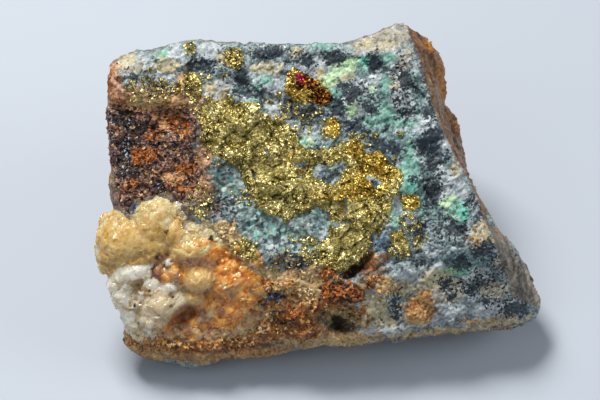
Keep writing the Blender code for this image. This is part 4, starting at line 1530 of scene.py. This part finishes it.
@dataclass
class QuartzCluster:
    """The grown-together rounded quartz."""

    voxel: float = 0.3
    seed: int = 17
    specks: Spots = (
        (157, 257, 2.2, 3), (172, 298, 1.6, 1.4), (150, 296, 1, 1.8), (134, 306, 1.6, 2.4),
        (148, 307, 1.6, 1), (170, 307, 1.2, 1.2), (152, 269, 1.8, 1.2), (151, 278, 1, 1.6),
        (211, 238, 3, 3), (140, 303, 1.2, 1), (149, 291, 1, 1.4),
    )
    hollow: Outline = (
        (167, 326), (171, 314), (184, 305), (198, 306), (200, 312), (193, 319), (186, 324), (176, 325),
    )
    smooth: Spots = (
        (197, 279, 16, 14), (192, 248, 20, 10), (132, 271, 18, 9), (158, 308, 18, 14),
        (232, 312, 11, 11), (194, 298, 10, 7), (172, 233, 9, 16), (110, 250, 10, 16),
    )
    gentle: Spots = ((122, 240, 24, 22), (154, 216, 18, 14), (154, 240, 18, 14))
    lobes: list[tuple[Tone, Lobe]] = field(init=False)

    def gather(self) -> None:
        """List every lobe, drawing the crumbs' places."""
        self.lobes = [
            (tone, (*lobe, 0)[:7]) for tone, group in QUARTZ_LOBES.items() for lobe in group
        ]
        draw = np.random.default_rng(self.seed)
        tree = SPECIMEN.tree()
        large = [lobe for _, lobe in self.lobes]
        for crumbs in QUARTZ_CRUMBS:
            for _ in range(crumbs.count):
                column, row = drawn_place(draw, crumbs.where)
                size = crumbs.smallest
                size += (crumbs.largest - crumbs.smallest) * draw.random() ** 1.7
                across, up = size * (0.8 + 0.5 * draw.random(2))
                spin = draw.random() * 180
                tone = crumbs.tones[int(draw.integers(len(crumbs.tones)))]
                lift = self.surface(column, row, large)
                if lift is None:
                    hit = struck(tree, column, row)
                    if hit is None:
                        continue
                    lift = float(FACE.find(hit[None])[2][0])
                self.lobes.append((tone, (column, row, lift - 0.4 * size, across, up, size, spin)))

    @staticmethod
    def surface(column: float, row: float, lobes: Sequence[Lobe]) -> float | None:
        """Lift of the larger lobes' surface at a place.

        Args:
            column: Column.
            row: Row.
            lobes: The lobes.

        Returns:
            The lift, or None off every lobe.
        """
        best = None
        for c, r, lift, across, up, out, turn in lobes:
            a, b = turned((column - c) * FACE.step, (r - row) * FACE.step, turn)
            left = 1 - (a / across) ** 2 - (b / up) ** 2
            if left > 0:
                top = lift + out * math.sqrt(left)
                best = top if best is None else max(best, top)
        return best

    def nearness(self, points: Numbers) -> tuple[dict[Tone, Numbers], Numbers]:
        """Which lobe each point belongs to.

        Args:
            points: One point a row.

        Returns:
            A share for each tone, and the distance to the next lobe's ground.
        """
        first = np.full(len(points), FAR)
        second = np.full(len(points), FAR)
        away = []
        for _, (column, row, lift, *size, turn) in self.lobes:
            local = (points - FACE.place(column, row, lift)) @ FACE.axes.T
            a, b = turned(local[:, 0], local[:, 1], turn)
            q = np.sqrt((a / size[0]) ** 2 + (b / size[1]) ** 2 + (local[:, 2] / size[2]) ** 2)
            away.append((q - 1) * min(size))
            second = np.minimum(second, np.maximum(first, away[-1]))
            first = np.minimum(first, away[-1])
        shares = {tone: np.zeros(len(points)) for tone in Tone}
        for (tone, _), distance in zip(self.lobes, away):
            shares[tone] += np.exp(-(distance - first) / 0.14)
        total = sum(shares.values())
        return {tone: share / total for tone, share in shares.items()}, second - first

    def shape(self) -> Sheet:
        """Grow the lobes together on their bed.

        Returns:
            The cluster's mesh.
        """
        patch = QUARTZ_BED.patch()
        columns, rows, _ = FACE.find(patch.points)
        under = patch.points - patch.normals() * QUARTZ_BED.thickness
        height = QUARTZ_BED.lift(QUARTZ_BED.depth(patch.points))
        height -= 0.3 * rise(-1.0, 3.0, outline_depth(self.hollow, columns, rows))
        shapes = [patch.raised(height).closed(under)]
        forms = {1.0: Workshop.ball(1), 2.9: Workshop.ball(2), math.inf: Workshop.ball(4)}
        for _, (column, row, lift, *size, turn) in self.lobes:
            ball = next(form for most, form in forms.items() if max(size[:2]) < most)
            cosine, sine = turned(1.0, 0.0, -turn)
            spin = np.array(((cosine, sine, 0), (-sine, cosine, 0), (0, 0, 1)))
            places = (ball.points * size) @ spin @ FACE.axes + FACE.place(column, row, lift)
            shapes.append(Sheet(places, ball.faces))
        return Workshop.fused(Workshop.joined(shapes), self.voxel).relaxed(1)

    def relief(self, points: Numbers) -> Numbers:
        """Height of the cluster's dents, grains and faces.

        Args:
            points: One point a row.

        Returns:
            One height a point.
        """
        columns, rows, _ = FACE.find(points)
        plain = rise(-2.0, 3.0, spot_depth(self.smooth, columns, rows))
        rough = 1 - 0.85 * plain
        height = 0.16 * Noise.layered(points, 3.0, 71)
        rough *= 1 - rise(-4.0, 0.0, outline_depth(self.hollow, columns, rows))
        rough *= 1 - 0.75 * rise(-2.0, 4.0, spot_depth(self.gentle, columns, rows))
        height += rough * Noise.grains(points, 2.1, 73).facets(0.26, 0.22)
        height += rough * Noise.grains(points, 0.9, 77).facets(0.2, 0.06)
        height += plain * Noise.grains(points, 2.6, 83).facets(0.16, 0.06)
        return height + 0.04 * Noise.layered(points, 0.6, 79)

    def build(self) -> None:
        """Make the cluster."""
        self.gather()
        sheet = self.shape()
        shares, seam = self.nearness(sheet.points)
        sheet = sheet.raised(self.relief(sheet.points))
        sheet.points[:, 2] = np.maximum(sheet.points[:, 2], 0.05)
        thing = Workshop.make("quartz_cluster_lobes", sheet, facets=True)
        columns, rows, _ = FACE.find(sheet.points)
        warp = Noise.layered(sheet.points, 1.0, 67)
        speck = spot_depth(self.specks, columns + warp, rows - warp)
        deep = outline_depth(self.hollow, columns + 2 * warp, rows)
        # Hollowness and seams, which the finish paints as shade.
        Workshop.mark(
            thing, hollow=sheet.hollowness(8), seam=1 - rise(0.0, 0.4, seam),
            speck=rise(-0.5, 0.7, speck), deep=rise(-2.0, 2.0, deep),
            **{tone.value: share for tone, share in shares.items()},
        )
        Workshop.dress(thing, QuartzFinish(), "quartz", "quartz_cluster")


HOST_MARKS: dict[str, Spots] = {
    "wash": (
        (392, 100, 34, 46, 15), (428, 180, 26, 46, 15), (300, 230, 60, 22, -12), (226, 184, 24, 24),
        (345, 85, 22, 30, -30), (470, 262, 26, 10), (235, 90, 14, 14), (300, 148, 26, 10),
    ),
    "earth": (
        (200, 352, 110, 15, -3), (300, 305, 50, 36), (250, 322, 60, 24), (330, 340, 60, 9, 3),
        (108, 155, 6, 45), (248, 262, 20, 12, -30), (300, 272, 24, 8), (140, 345, 30, 20, -10),
        (160, 102, 50, 7),
    ),
    "umber": (
        (155, 200, 34, 9), (187, 207, 10, 13), (430, 339, 60, 5, 4), (500, 330, 30, 5, 6),
        (373, 283, 11, 11), (378, 268, 12, 8), (196, 120, 12, 26), (190, 172, 16, 36, 20),
        (205, 205, 20, 14), (180, 98, 14, 8), (150, 92, 26, 9), (232, 235, 16, 14), (300, 262, 30, 8),
        (345, 320, 30, 14), (372, 275, 14, 14), (280, 320, 20, 12), (128, 210, 10, 8, -40),
        (113, 196, 9, 16), (124, 203, 10, 7), (204, 140, 8, 20), (207, 178, 9, 22, 10),
    ),
    "dark": (
        (131, 207, 8, 4, -35), (250, 94, 16, 6, -5), (225, 48, 5, 4), (202, 66, 12, 8), (240, 79, 8, 10),
        (270, 53, 16, 6), (286, 105, 7, 6), (306, 61, 9, 7), (336, 57, 12, 7, 10), (377, 63, 8, 12),
        (353, 93, 12, 8, 30), (372, 108, 7, 7), (338, 110, 7, 11, -20), (352, 124, 12, 6, -10),
        (382, 146, 22, 8, -22), (386, 126, 5, 5), (308, 114, 22, 7), (432, 136, 11, 9),
        (432, 155, 9, 16), (424, 146, 10, 8), (443, 160, 4, 10, -30), (432, 190, 8, 14, 25),
        (428, 206, 5, 10), (473, 198, 4, 15, -25), (480, 214, 4, 10, -25), (458, 230, 9, 7),
        (483, 252, 13, 8, 15), (463, 262, 10, 5), (448, 284, 6, 6), (452, 295, 6, 4),
        (476, 288, 9, 5, 40), (489, 303, 5, 6), (520, 310, 14, 8, 10), (396, 308, 5, 15, 10),
        (389, 246, 10, 4), (289, 223, 8, 4, -15), (410, 254, 10, 5), (420, 262, 7, 3), (420, 226, 6, 8),
        (440, 234, 4, 4), (441, 215, 4, 3), (376, 185, 3, 3), (408, 112, 12, 3, 20), (428, 112, 6, 6),
        (232, 200, 8, 5), (302, 265, 8, 5), (360, 132, 12, 4, -10), (394, 158, 6, 8), (340, 176, 5, 5),
        (326, 182, 6, 4), (318, 150, 12, 3), (415, 180, 4, 4), (404, 78, 7, 8), (344, 88, 8, 6),
        (490, 244, 5, 7), (330, 174, 10, 6, 30),
    ),
    "blush": (
        (112, 84, 8, 28), (128, 98, 22, 10), (150, 104, 30, 5), (180, 96, 8, 8), (113, 160, 5, 20),
        (205, 158, 9, 12), (502, 236, 7, 8, -30), (135, 99, 34, 8), (182, 104, 22, 7), (202, 186, 8, 14),
        (114, 110, 8, 12),
    ),
    "mint": (
        (448, 202, 7, 7), (346, 66, 15, 8, 25), (300, 144, 12, 7, 10), (330, 80, 5, 12, -30),
        (352, 108, 8, 6), (455, 208, 9, 10), (228, 182, 6, 8), (405, 175, 6, 14), (160, 55, 5, 3),
        (372, 88, 5, 5), (284, 285, 8, 5), (455, 272, 12, 4),
    ),
    "blue": (
        (231, 184, 16, 26, 20), (250, 210, 24, 12, -30), (285, 235, 34, 18, -10), (322, 212, 10, 7, 20),
        (330, 145, 12, 4, -35), (243, 228, 8, 8), (330, 172, 12, 6, 30), (300, 222, 20, 8, -10),
    ),
    "teal": (
        (372, 64, 10, 9, 15), (337, 93, 7, 9, -40), (390, 57, 6, 6), (386, 85, 5, 8), (384, 115, 11, 16),
        (401, 122, 12, 5, 15), (409, 172, 9, 24), (408, 190, 9, 6), (234, 190, 4, 6),
        (262, 213, 5, 4, -30), (270, 227, 7, 4, -10), (290, 232, 9, 3, -10), (252, 224, 4, 4),
        (268, 83, 5, 5), (212, 104, 6, 5), (165, 52, 6, 4), (322, 210, 5, 3, 20), (425, 205, 4, 8),
        (420, 216, 4, 6), (370, 122, 14, 6, 20), (456, 208, 8, 8), (322, 45, 12, 3), (395, 218, 5, 8),
        (255, 95, 6, 12), (300, 142, 8, 5), (465, 272, 6, 5), (410, 150, 6, 8), (243, 228, 4, 3),
    ),
    "bright_teal": (
        (464, 210, 5, 9), (279, 229, 4, 3), (413, 187, 5, 5), (257, 234, 5, 4), (463, 221, 5, 3),
        (366, 60, 5, 4, 20), (401, 114, 4, 3), (362, 137, 2.5, 3), (300, 150, 3, 2), (242, 107, 5, 3),
    ),
    "chalk": (
        (440, 290, 30, 14), (495, 292, 12, 10), (384, 38, 32, 12, 15), (404, 62, 7, 16, -15),
        (368, 310, 10, 10), (484, 244, 9, 6), (500, 262, 8, 8), (515, 318, 16, 5, -8), (130, 66, 14, 9),
    ),
    "white": (
        (360, 86, 16, 8), (402, 100, 14, 16), (396, 72, 10, 10), (338, 76, 4, 12, -30), (418, 131, 8, 6),
        (375, 80, 8, 8), (449, 187, 13, 21, -15), (440, 172, 8, 7), (398, 128, 12, 5, 10),
        (418, 276, 24, 9), (452, 306, 17, 10), (496, 311, 22, 8), (424, 326, 26, 4, 4),
        (466, 277, 12, 7), (432, 292, 12, 7), (472, 226, 7, 10, -20), (405, 321, 5, 4),
        (343, 99, 3, 23, 45), (403, 123, 13, 3.5, 25), (275, 98, 10, 19), (455, 195, 14, 18),
        (215, 90, 10, 10), (163, 70, 16, 10), (360, 113, 10, 7), (481, 273, 8, 5), (438, 272, 18, 7),
        (462, 310, 9, 10), (360, 55, 10, 6, 20), (355, 104, 8, 6), (447, 145, 6, 5, -40),
        (140, 60, 12, 8), (434, 253, 10, 5, 15), (305, 70, 12, 5), (490, 312, 14, 7, 20),
        (370, 330, 12, 5), (225, 85, 8, 12), (430, 128, 6, 4), (320, 60, 8, 8), (392, 330, 14, 4),
        (416, 160, 5, 14), (175, 58, 12, 10), (240, 96, 10, 4), (428, 120, 12, 4, 10), (250, 84, 8, 4),
        (325, 232, 5, 7), (480, 296, 16, 5, -10), (445, 318, 16, 6), (350, 112, 6, 6), (210, 50, 12, 8),
        (420, 60, 4, 12, -20),
    ),
    "cream": (
        (165, 66, 13, 8), (124, 62, 12, 7, 20), (405, 286, 10, 6), (430, 334, 60, 3, 4),
        (500, 324, 30, 3, 6), (375, 310, 13, 16), (330, 284, 3, 8), (285, 280, 12, 5), (390, 322, 12, 6),
        (480, 230, 11, 11), (366, 43, 9, 4, 12), (386, 44, 12, 3, 12), (128, 58, 10, 6, 20),
        (300, 143, 13, 8), (440, 280, 20, 9), (210, 88, 6, 7), (295, 54, 8, 5),
        (322, 74, 6, 6), (225, 93, 6, 8), (345, 76, 12, 5, 20), (400, 290, 12, 9), (175, 66, 6, 6),
        (457, 168, 5, 8), (220, 60, 5, 6), (393, 83, 4, 6), (265, 68, 16, 7), (300, 228, 10, 6),
        (402, 193, 7, 4), (385, 285, 8, 8), (340, 268, 8, 4), (380, 318, 8, 10),
    ),
    "tan": (
        (429, 317, 7, 4), (389, 287, 11, 9), (309, 284, 9, 18, 5), (290, 292, 28, 12), (265, 315, 7, 6),
        (300, 315, 12, 7), (310, 283, 12, 10), (390, 287, 8, 10), (357, 320, 13, 3.5, -35),
        (322, 328, 3.5, 9, -25), (300, 343, 40, 5), (312, 288, 7, 15), (292, 281, 14, 5),
        (341, 313, 11, 4, -15), (331, 316, 4, 9, -30), (346, 304, 8, 3), (338, 334, 18, 4),
        (478, 242, 8, 3, 10), (150, 104, 30, 3), (475, 323, 8, 3), (365, 285, 8, 4),
        (350, 343, 40, 4, 5), (430, 336, 40, 3, 5), (500, 323, 18, 3, 6), (275, 275, 14, 7),
        (235, 240, 14, 8), (225, 228, 12, 8),
    ),
    "ochre": (
        (420, 312, 17, 16), (426, 297, 8, 7), (472, 323, 8, 2.5), (262, 290, 14, 10), (285, 305, 24, 8),
        (370, 258, 10, 5), (250, 290, 12, 20), (300, 300, 20, 6), (145, 350, 22, 10, -10),
        (362, 312, 7, 5), (425, 205, 2, 2), (475, 241, 6, 2.5), (185, 275, 45, 50),
        (184, 80, 5, 13, -25), (170, 104, 14, 4),
    ),
    "rust": (
        (109, 84, 4, 20), (118, 102, 9, 4), (414, 305, 7, 4), (425, 312, 4, 3), (364, 312, 4, 4),
        (300, 322, 18, 12), (275, 300, 16, 7), (262, 288, 10, 8), (270, 330, 26, 10), (325, 275, 10, 6),
        (368, 266, 5, 6), (330, 300, 14, 6), (190, 350, 60, 4, -3), (384, 257, 6, 3), (372, 283, 7, 5),
        (305, 335, 20, 6, 5), (240, 345, 40, 5, 3), (318, 308, 8, 6), (360, 268, 6, 4),
    ),
    "azure": (
        (268, 297, 7, 2.5), (281, 298, 5, 3.5), (341, 284, 5, 2.5), (323, 295, 3, 4), (380, 240, 6, 4),
        (262, 292, 4, 3), (300, 252, 10, 4), (287, 268, 5, 4),
    ),
    "pepper": (
        (436, 100, 12, 30, 15), (392, 108, 26, 14), (430, 180, 16, 30), (360, 96, 16, 12),
        (470, 282, 30, 14), (498, 276, 13, 22, -25), (205, 66, 16, 10), (265, 52, 24, 8),
        (400, 90, 24, 22), (480, 250, 14, 8), (500, 262, 10, 12), (330, 56, 14, 8), (130, 76, 14, 8),
        (160, 92, 20, 10), (450, 232, 24, 14), (220, 205, 26, 14), (400, 68, 14, 14), (300, 60, 20, 8),
        (295, 258, 26, 10), (510, 300, 14, 18, -20), (150, 86, 14, 9),
    ),
}
EAST_SIDE = (
    (408, 24), (432, 28), (452, 60), (454, 95), (472, 145), (484, 185), (494, 222), (487, 222),
    (470, 182), (462, 166), (455, 155), (447, 140), (440, 125), (435, 110), (430, 95), (425, 80),
    (418, 55), (410, 32),
)
SOUTHEAST_SIDE = (
    (488, 222), (500, 228), (546, 290), (546, 312), (512, 296), (508, 275), (500, 258), (494, 235),
)
AMBER_RIM = (
    (447, 78, 7, 26, 8), (434, 42, 8, 10, 30), (466, 128, 4, 18, 20), (478, 168, 4, 20, 20),
    (490, 206, 4, 14, 20),
)
CREVICE = ((367, 250), (374, 254), (364, 267), (354, 279), (339, 278), (344, 269), (354, 261))
CAVITY = (
    (317, 330), (324, 319), (334, 311), (346, 316), (361, 325), (356, 333), (342, 338), (324, 338),
)
LEDGES = (
    ((331, 311), (348, 316), 0.8), ((348, 316), (364, 326), 0.8), ((319, 336), (327, 324), 0.6),
    ((327, 324), (334, 309), 0.6), ((340, 306), (352, 304), 0.5), ((300, 296), (311, 308), 0.6),
    ((316, 300), (311, 312), 0.5),
)
FACE_STEPS = ((152, 102, 40, 9), (180, 104, 20, 8), (112, 112, 9, 14))
SHADOWS = (
    (414, 44, 1.3, 17, 14), (424, 74, 1.3, 16, 16), (505, 262, 1.2, 14, 30), (357, 291, 7, 1.4, -38),
    (328, 325, 3, 6, 20), (362, 44, 2, 1.4), (376, 42, 2.2, 1.8), (391, 40, 1.8, 2.2), (397, 44, 1.2, 2),
    (397, 36, 1, 1.4), (385, 34, 1.4, 1), (265, 347, 16, 1.2, 10), (396, 262, 4, 1, -40),
    (455, 131, 2.5, 1.6, -30), (351, 285, 3, 3), (430, 331, 6, 1),
)


@dataclass
class HostRock:
    """The rock that everything else grew in."""

    facets: Planes = (
        (4.5, 0.2, 0.4), (1.2, 0.34, 0.22), (0.6, 0.4, 0.12),
    )
    sink: float = 0.45
    fine_facing: float = 0.3

    def build(self, crusts: Sequence[Crust]) -> Thing:
        """Make the rock.

        Args:
            crusts: The crusts that lie on it.

        Returns:
            The rock's object.
        """
        skin = SPECIMEN.skin
        fine = (skin.facing() > self.fine_facing) & (self.covered(crusts, skin.points) < 1.0)
        sheet = skin.refined(fine[skin.faces].any(axis=1))
        sheet = Sheet(sheet.averaged(sheet.points, 1), sheet.faces)
        cover = self.covered(crusts, sheet.points)
        front = rise(0.15, 0.5, sheet.facing())
        points = sheet.points
        columns, rows, lifts = FACE.find(points)
        height = np.zeros(len(points))
        for k, (size, lean, step) in enumerate(self.facets):
            height += front * Noise.grains(points, size, 101 + 7 * k).facets(lean, step)
        ribs = self.ribs(points, lifts)
        flank = (1 - front) * rise(0.0, 2.0, points[:, 2])
        height += flank * (0.14 * ribs + Noise.grains(points, 3.5, 131).facets(0.12, 0.2))
        height += flank * Noise.grains(points, 1.5, 137).facets(0.25, 0.12)
        torn = 2.2 * Noise.layered(points, 2.0, 149)
        height -= rise(-1.5, 3.5, outline_depth(CREVICE, columns + torn, rows - torn)) * front
        ledge = line_depth(LEDGES, columns + torn, rows + 0.6 * ribs)
        height += 0.9 * rise(-2.4, 0.6, ledge) * front
        height *= 1 - rise(0.0, 1.0, cover)
        height -= self.sink * rise(0.0, 1.2, cover)
        sheet = sheet.raised(height)
        grounded = points[:, 2] <= 0
        sheet.points[:, 2] = np.where(grounded, 0.0, np.maximum(sheet.points[:, 2], 0.0))
        thing = Workshop.make("host_rock_skin", sheet)
        self.mark(thing, sheet, ribs)
        Workshop.dress(thing, RockFinish(), "host_rock", "host_rock")
        return thing

    @staticmethod
    def covered(crusts: Sequence[Crust], points: Numbers) -> Numbers:
        """Millimetres that points lie inside any crust's outline, negative outside."""
        return np.max([crust.depth(points) for crust in crusts], axis=0)

    @staticmethod
    def ribs(points: Numbers, lifts: Numbers) -> Numbers:
        """The fine ribs that run round the flanks.

        Args:
            points: One point a row.
            lifts: Their lifts.

        Returns:
            Heights from about -1 to 1.
        """
        wave = lifts + 0.9 * Noise.smooth(points, 8.0, 141)
        flat = np.stack((points[:, 0] / 9, points[:, 1] / 9, wave), 1)
        return 0.7 * Noise.smooth(flat, 1.1, 143) + 0.5 * Noise.smooth(flat, 0.5, 147)

    @staticmethod
    def mark(thing: Thing, sheet: Sheet, ribs: Numbers) -> None:
        """Write the rock's stains, and its painted shade in hollows and shadows, for its finish.

        Args:
            thing: The rock's object.
            sheet: Its mesh.
            ribs: The flanks' ribs.
        """
        points = sheet.points
        snapped = 0.75 * Noise.grains(points, 0.8, 151).middle + 0.25 * points
        columns, rows, _ = FACE.find(snapped)
        warp_c = 4.0 * Noise.layered(snapped, 2.6, 153)
        warp_r = 4.0 * Noise.layered(snapped, 2.6, 157)
        facing = sheet.facing()
        seen = rise(-0.05, 0.2, facing)
        for name, spots in HOST_MARKS.items():
            depth = spot_depth(spots, columns + warp_c, rows + warp_r)
            if name == "tan":
                ledge = line_depth(LEDGES, columns + 0.6 * warp_c, rows + 0.6 * warp_r)
                depth = np.maximum(depth, 3 + ledge)
            most = 0.47 if name == "pepper" else 1.0
            Workshop.mark(thing, **{name: most * faded(depth) * seen})
        shade = spot_depth(SHADOWS, columns + 0.5 * warp_c, rows + 0.5 * warp_r)
        dusk = outline_depth(CAVITY, columns + 0.8 * warp_c, rows + 0.8 * warp_r)
        gap = outline_depth(CREVICE, columns + 0.9 * warp_c, rows + 0.9 * warp_r)
        shade = np.maximum(shade, gap - 0.5)
        shade = np.maximum(0.85 * rise(-1.5, 1.5, shade), 0.32 * rise(-2.0, 5.0, dusk))
        # Hollowness, which the finish paints as shade in the rock's hollows.
        painted_hollow_shade = sheet.hollowness(5) * (1 - 0.7 * rise(-4.0, 1.0, dusk))
        columns, rows, lifts = FACE.find(points)
        looks = rise(-0.3, 0.0, facing)
        side, low = (
            looks * rise(-1.0, 1.0, outline_depth(outline, columns + 0.5 * warp_c, rows))
            for outline in (EAST_SIDE, SOUTHEAST_SIDE)
        )
        away = 1 - rise(0.1, 0.45, facing)
        away *= 1 - rise(-2.0, 3.0, spot_depth(FACE_STEPS, columns, rows)) * (lifts > -9.0)
        flank = np.maximum(np.maximum(side, low), away)
        sideways = sheet.averaged(sheet.normals(), 6)[:, 0] + 0.5 * Noise.layered(points, 9.0, 163)
        warm = np.maximum(rise(0.1, 0.5, sideways), 0.8 * rise(0.2, 0.7, -sideways))
        warm = np.maximum(side, warm) * (1 - 0.9 * rise(215, 250, rows) * rise(400, 460, columns))
        rim = rise(-2.0, 2.0, spot_depth(AMBER_RIM, columns + 0.5 * warp_c, rows)) * side
        weather = Noise.layered(points, 7.0, 161) + 0.5 * ribs - 0.15
        weather = rise(0.0, 0.5, weather) * (0.1 + 0.5 * warm) * (1 - side)
        Workshop.mark(
            thing, shadowed=shade * seen, hollow=painted_hollow_shade, ribs=ribs, flank=flank,
            warm=flank * warm, weather=flank * np.maximum(weather, 0.85 * rim),
        )


@dataclass
class GrainScatter:
    """Many small grains of one mineral, joined in one piece."""

    name: str
    slot: str
    finish: Any
    fields: Sequence[tuple[Spot, int]]
    smallest: float
    largest: float
    seed: int
    flatness: float = 0.7
    forms: int = 8
    corners: int = 9
    proud: float = 0.15
    marks: dict[str, Spots] = field(default_factory=dict)

    def build(self, ground: BVHTree) -> None:
        """Make the grains.

        Args:
            ground: What they lie on, in metres.
        """
        draw = np.random.default_rng(self.seed)
        shapes = [self.shape(draw) for _ in range(self.forms)]
        grains = []
        for spot, number in self.fields:
            for _ in range(2 * number):
                place = drawn_place(draw, spot)
                size = self.smallest + (self.largest - self.smallest) * draw.random() ** 2.5
                spin = Quaternion(draw.normal(size=4)).normalized()
                hit = struck(ground, *place)
                if hit is None:
                    continue
                form = shapes[int(draw.integers(len(shapes)))]
                points = form.points @ np.array(spin.to_matrix()) * size
                grains.append(Sheet(points + hit + self.proud * size * FACE.out, form.faces))
        sheet = Workshop.joined(grains)
        thing = Workshop.make(self.name, sheet, facets=True)
        columns, rows, _ = FACE.find(sheet.points)
        for name, spots in self.marks.items():
            Workshop.mark(thing, **{name: faded(spot_depth(spots, columns, rows))})
        Workshop.dress(thing, self.finish, self.slot)

    def shape(self, draw: np.random.Generator) -> Sheet:
        """One angular grain of unit radius.

        Args:
            draw: Where its corners are drawn from.

        Returns:
            The grain.
        """
        bm = bmesh.new()
        for _ in range(self.corners):
            way = draw.normal(size=3)
            way *= (0.75 + 0.25 * draw.random()) / np.linalg.norm(way)
            bm.verts.new(way * (1.0, 1.0, self.flatness))
        bmesh.ops.convex_hull(bm, input=bm.verts)
        loose = [v for v in bm.verts if not v.link_faces]
        bmesh.ops.delete(bm, geom=loose, context="VERTS")
        bmesh.ops.triangulate(bm, faces=bm.faces)
        bmesh.ops.recalc_face_normals(bm, faces=bm.faces)
        return Workshop.taken(bm)


BRASS_GRAINS = (
    ((150, 90, 28, 14), 170), ((200, 202, 14, 18), 80), ((195, 112, 10, 14), 50),
    ((215, 110, 20, 10), 40), ((300, 110, 24, 10), 70), ((300, 127, 14, 8), 40),
    ((330, 128, 12, 12), 40), ((190, 48, 6, 7), 40), ((208, 99, 5, 4), 18), ((230, 100, 4, 5), 18),
    ((150, 70, 3, 3), 8), ((279, 95, 3, 3), 8), ((245, 248, 14, 10), 70), ((325, 255, 26, 14), 110),
    ((290, 262, 26, 12), 50), ((410, 222, 14, 10), 60), ((400, 248, 12, 12), 50),
    ((420, 240, 10, 8), 30), ((360, 140, 14, 8), 40), ((300, 238, 12, 5), 24), ((170, 180, 26, 16), 40),
    ((190, 170, 14, 22), 60), ((204, 76, 8, 4), 16), ((225, 76, 5, 3), 8), ((400, 134, 3, 3), 8),
    ((375, 136, 4, 3), 8), ((180, 88, 8, 8), 26), ((318, 251, 17, 13, -20), 110),
    ((210, 128, 8, 24), 60), ((212, 158, 14, 6, -30), 30), ((330, 206, 10, 5), 24),
    ((262, 202, 22, 5, -10), 36), ((382, 214, 9, 14), 44), ((300, 212, 14, 4, 10), 24),
    ((390, 166, 5, 12, -30), 20), ((258, 106, 16, 5, 20), 30), ((240, 195, 10, 8), 24),
    ((275, 118, 12, 6), 30), ((355, 240, 18, 22), 60),
)
RUSTY_GRIT = (
    ((285, 302, 32, 22), 230), ((240, 332, 30, 9, 5), 90), ((326, 274, 26, 8), 50),
    ((378, 286, 14, 12), 26), ((292, 328, 26, 8), 60), ((150, 346, 26, 9), 60), ((205, 346, 52, 5), 100),
    ((222, 230, 14, 9), 40), ((400, 300, 12, 18), 12), ((345, 314, 24, 6, -20), 26),
)
GRIT_MARKS = {
    "tan": (
        (309, 284, 9, 18, 5), (288, 272, 18, 6, -5), (345, 322, 22, 9, -15), (300, 345, 60, 6, 3),
        (400, 300, 14, 20), (222, 230, 16, 11), (258, 326, 12, 6),
    ),
    "rust": ((246, 288, 12, 14), (292, 312, 16, 9), (330, 272, 14, 6)),
    "dark": ((276, 296, 12, 6, 10), (262, 306, 8, 5), (326, 326, 10, 8), (285, 325, 12, 4)),
}
SCATTERS = (
    GrainScatter("chalcopyrite_grains", "chalcopyrite", BRASS, BRASS_GRAINS, 0.16, 0.7, 7),
    GrainScatter(
        "host_rock_grit", "host_rock", GRIT, RUSTY_GRIT, 0.2, 0.75, 11, marks=GRIT_MARKS
    ),
)


@dataclass
class Studio:
    """The camera, the lights and the floor."""

    distance_m: float = 0.6
    sensor: float = 36.0
    frame_columns: int = 600
    aim: tuple[float, float] = (300.0, 200.0)
    half_floor: float = 2000.0

    def build(self) -> None:
        """Set up the studio."""
        self.camera()
        self.floor()
        self.light("key", (-0.16, 0.20, 0.55), 0.20, 4.6, (1.0, 0.98, 0.95))
        self.light("fill", (-0.30, -0.35, 0.40), 0.5, 0.9, (0.93, 0.96, 1.0))
        self.light("side", (0.45, -0.05, 0.30), 0.3, 1.0, (0.95, 0.97, 1.0))
        world = bpy.data.worlds.new("studio")
        world.use_nodes = True
        sky = world.node_tree.nodes["Background"].inputs
        sky["Color"].default_value = (0.72, 0.8, 0.9, 1)
        sky["Strength"].default_value = 0.16
        bpy.context.scene.world = world
        bpy.context.scene.view_settings.view_transform = "Standard"

    def camera(self) -> None:
        """Place the camera square to the display face."""
        data = bpy.data.cameras.new("camera")
        data.sensor_width = self.sensor
        data.lens = self.sensor * self.distance_m / (self.frame_columns * FACE.step * MM)
        thing = bpy.data.objects.new("camera", data)
        aim = FACE.place(self.aim[0], self.aim[1], 0.0) * MM
        axes = Matrix(FACE.axes.tolist()).transposed().to_4x4()
        thing.matrix_world = Matrix.Translation(aim + FACE.out * self.distance_m) @ axes
        bpy.context.scene.collection.objects.link(thing)
        bpy.context.scene.camera = thing

    @staticmethod
    def light(
        name: str, place: Sequence[float], size: float, power: float, colour: Sequence[float]
    ) -> None:
        """Add a square soft light that looks at the specimen.

        Args:
            name: Its name.
            place: Where it stands, in metres.
            size: Its side, in metres.
            power: Its power in watts.
            colour: Its colour.
        """
        data = bpy.data.lights.new(name, "AREA")
        data.size = size
        data.energy = power
        data.color = colour
        thing = bpy.data.objects.new(name, data)
        thing.location = place
        aim = Vector((0, 0, 0.02)) - Vector(place)
        thing.rotation_mode = "QUATERNION"
        thing.rotation_quaternion = aim.to_track_quat("-Z", "Y")
        bpy.context.scene.collection.objects.link(thing)

    def floor(self) -> None:
        """Lay the plain pale floor."""
        corners = np.array(((-1, -1, 0), (1, -1, 0), (1, 1, 0), (-1, 1, 0))) * self.half_floor
        thing = Workshop.make("floor", Sheet(corners, np.array(((0, 1, 2), (0, 2, 3)))), True)
        look = Finish("floor")
        look.set(Base_Color=(0.42, 0.46, 0.52, 1.0), Roughness=0.7)
        thing.data.materials.append(look.material)


def main() -> None:
    """Dress the specimen."""
    logging.basicConfig(level=logging.INFO, format="%(name)s %(message)s")
    Studio().build()
    SPECIMEN.build()
    LOG.info("skin: %d triangles", len(SPECIMEN.skin.faces))
    rock = HostRock().build([*CRUSTS, QUARTZ_BED])
    for crust in CRUSTS:
        crust.build()
    QuartzCluster().build()
    bpy.context.view_layer.update()
    ground = BVHTree.FromObject(rock, bpy.context.evaluated_depsgraph_get())
    for scatter in SCATTERS:
        scatter.build(ground)


if __name__ == "__main__":
    main()
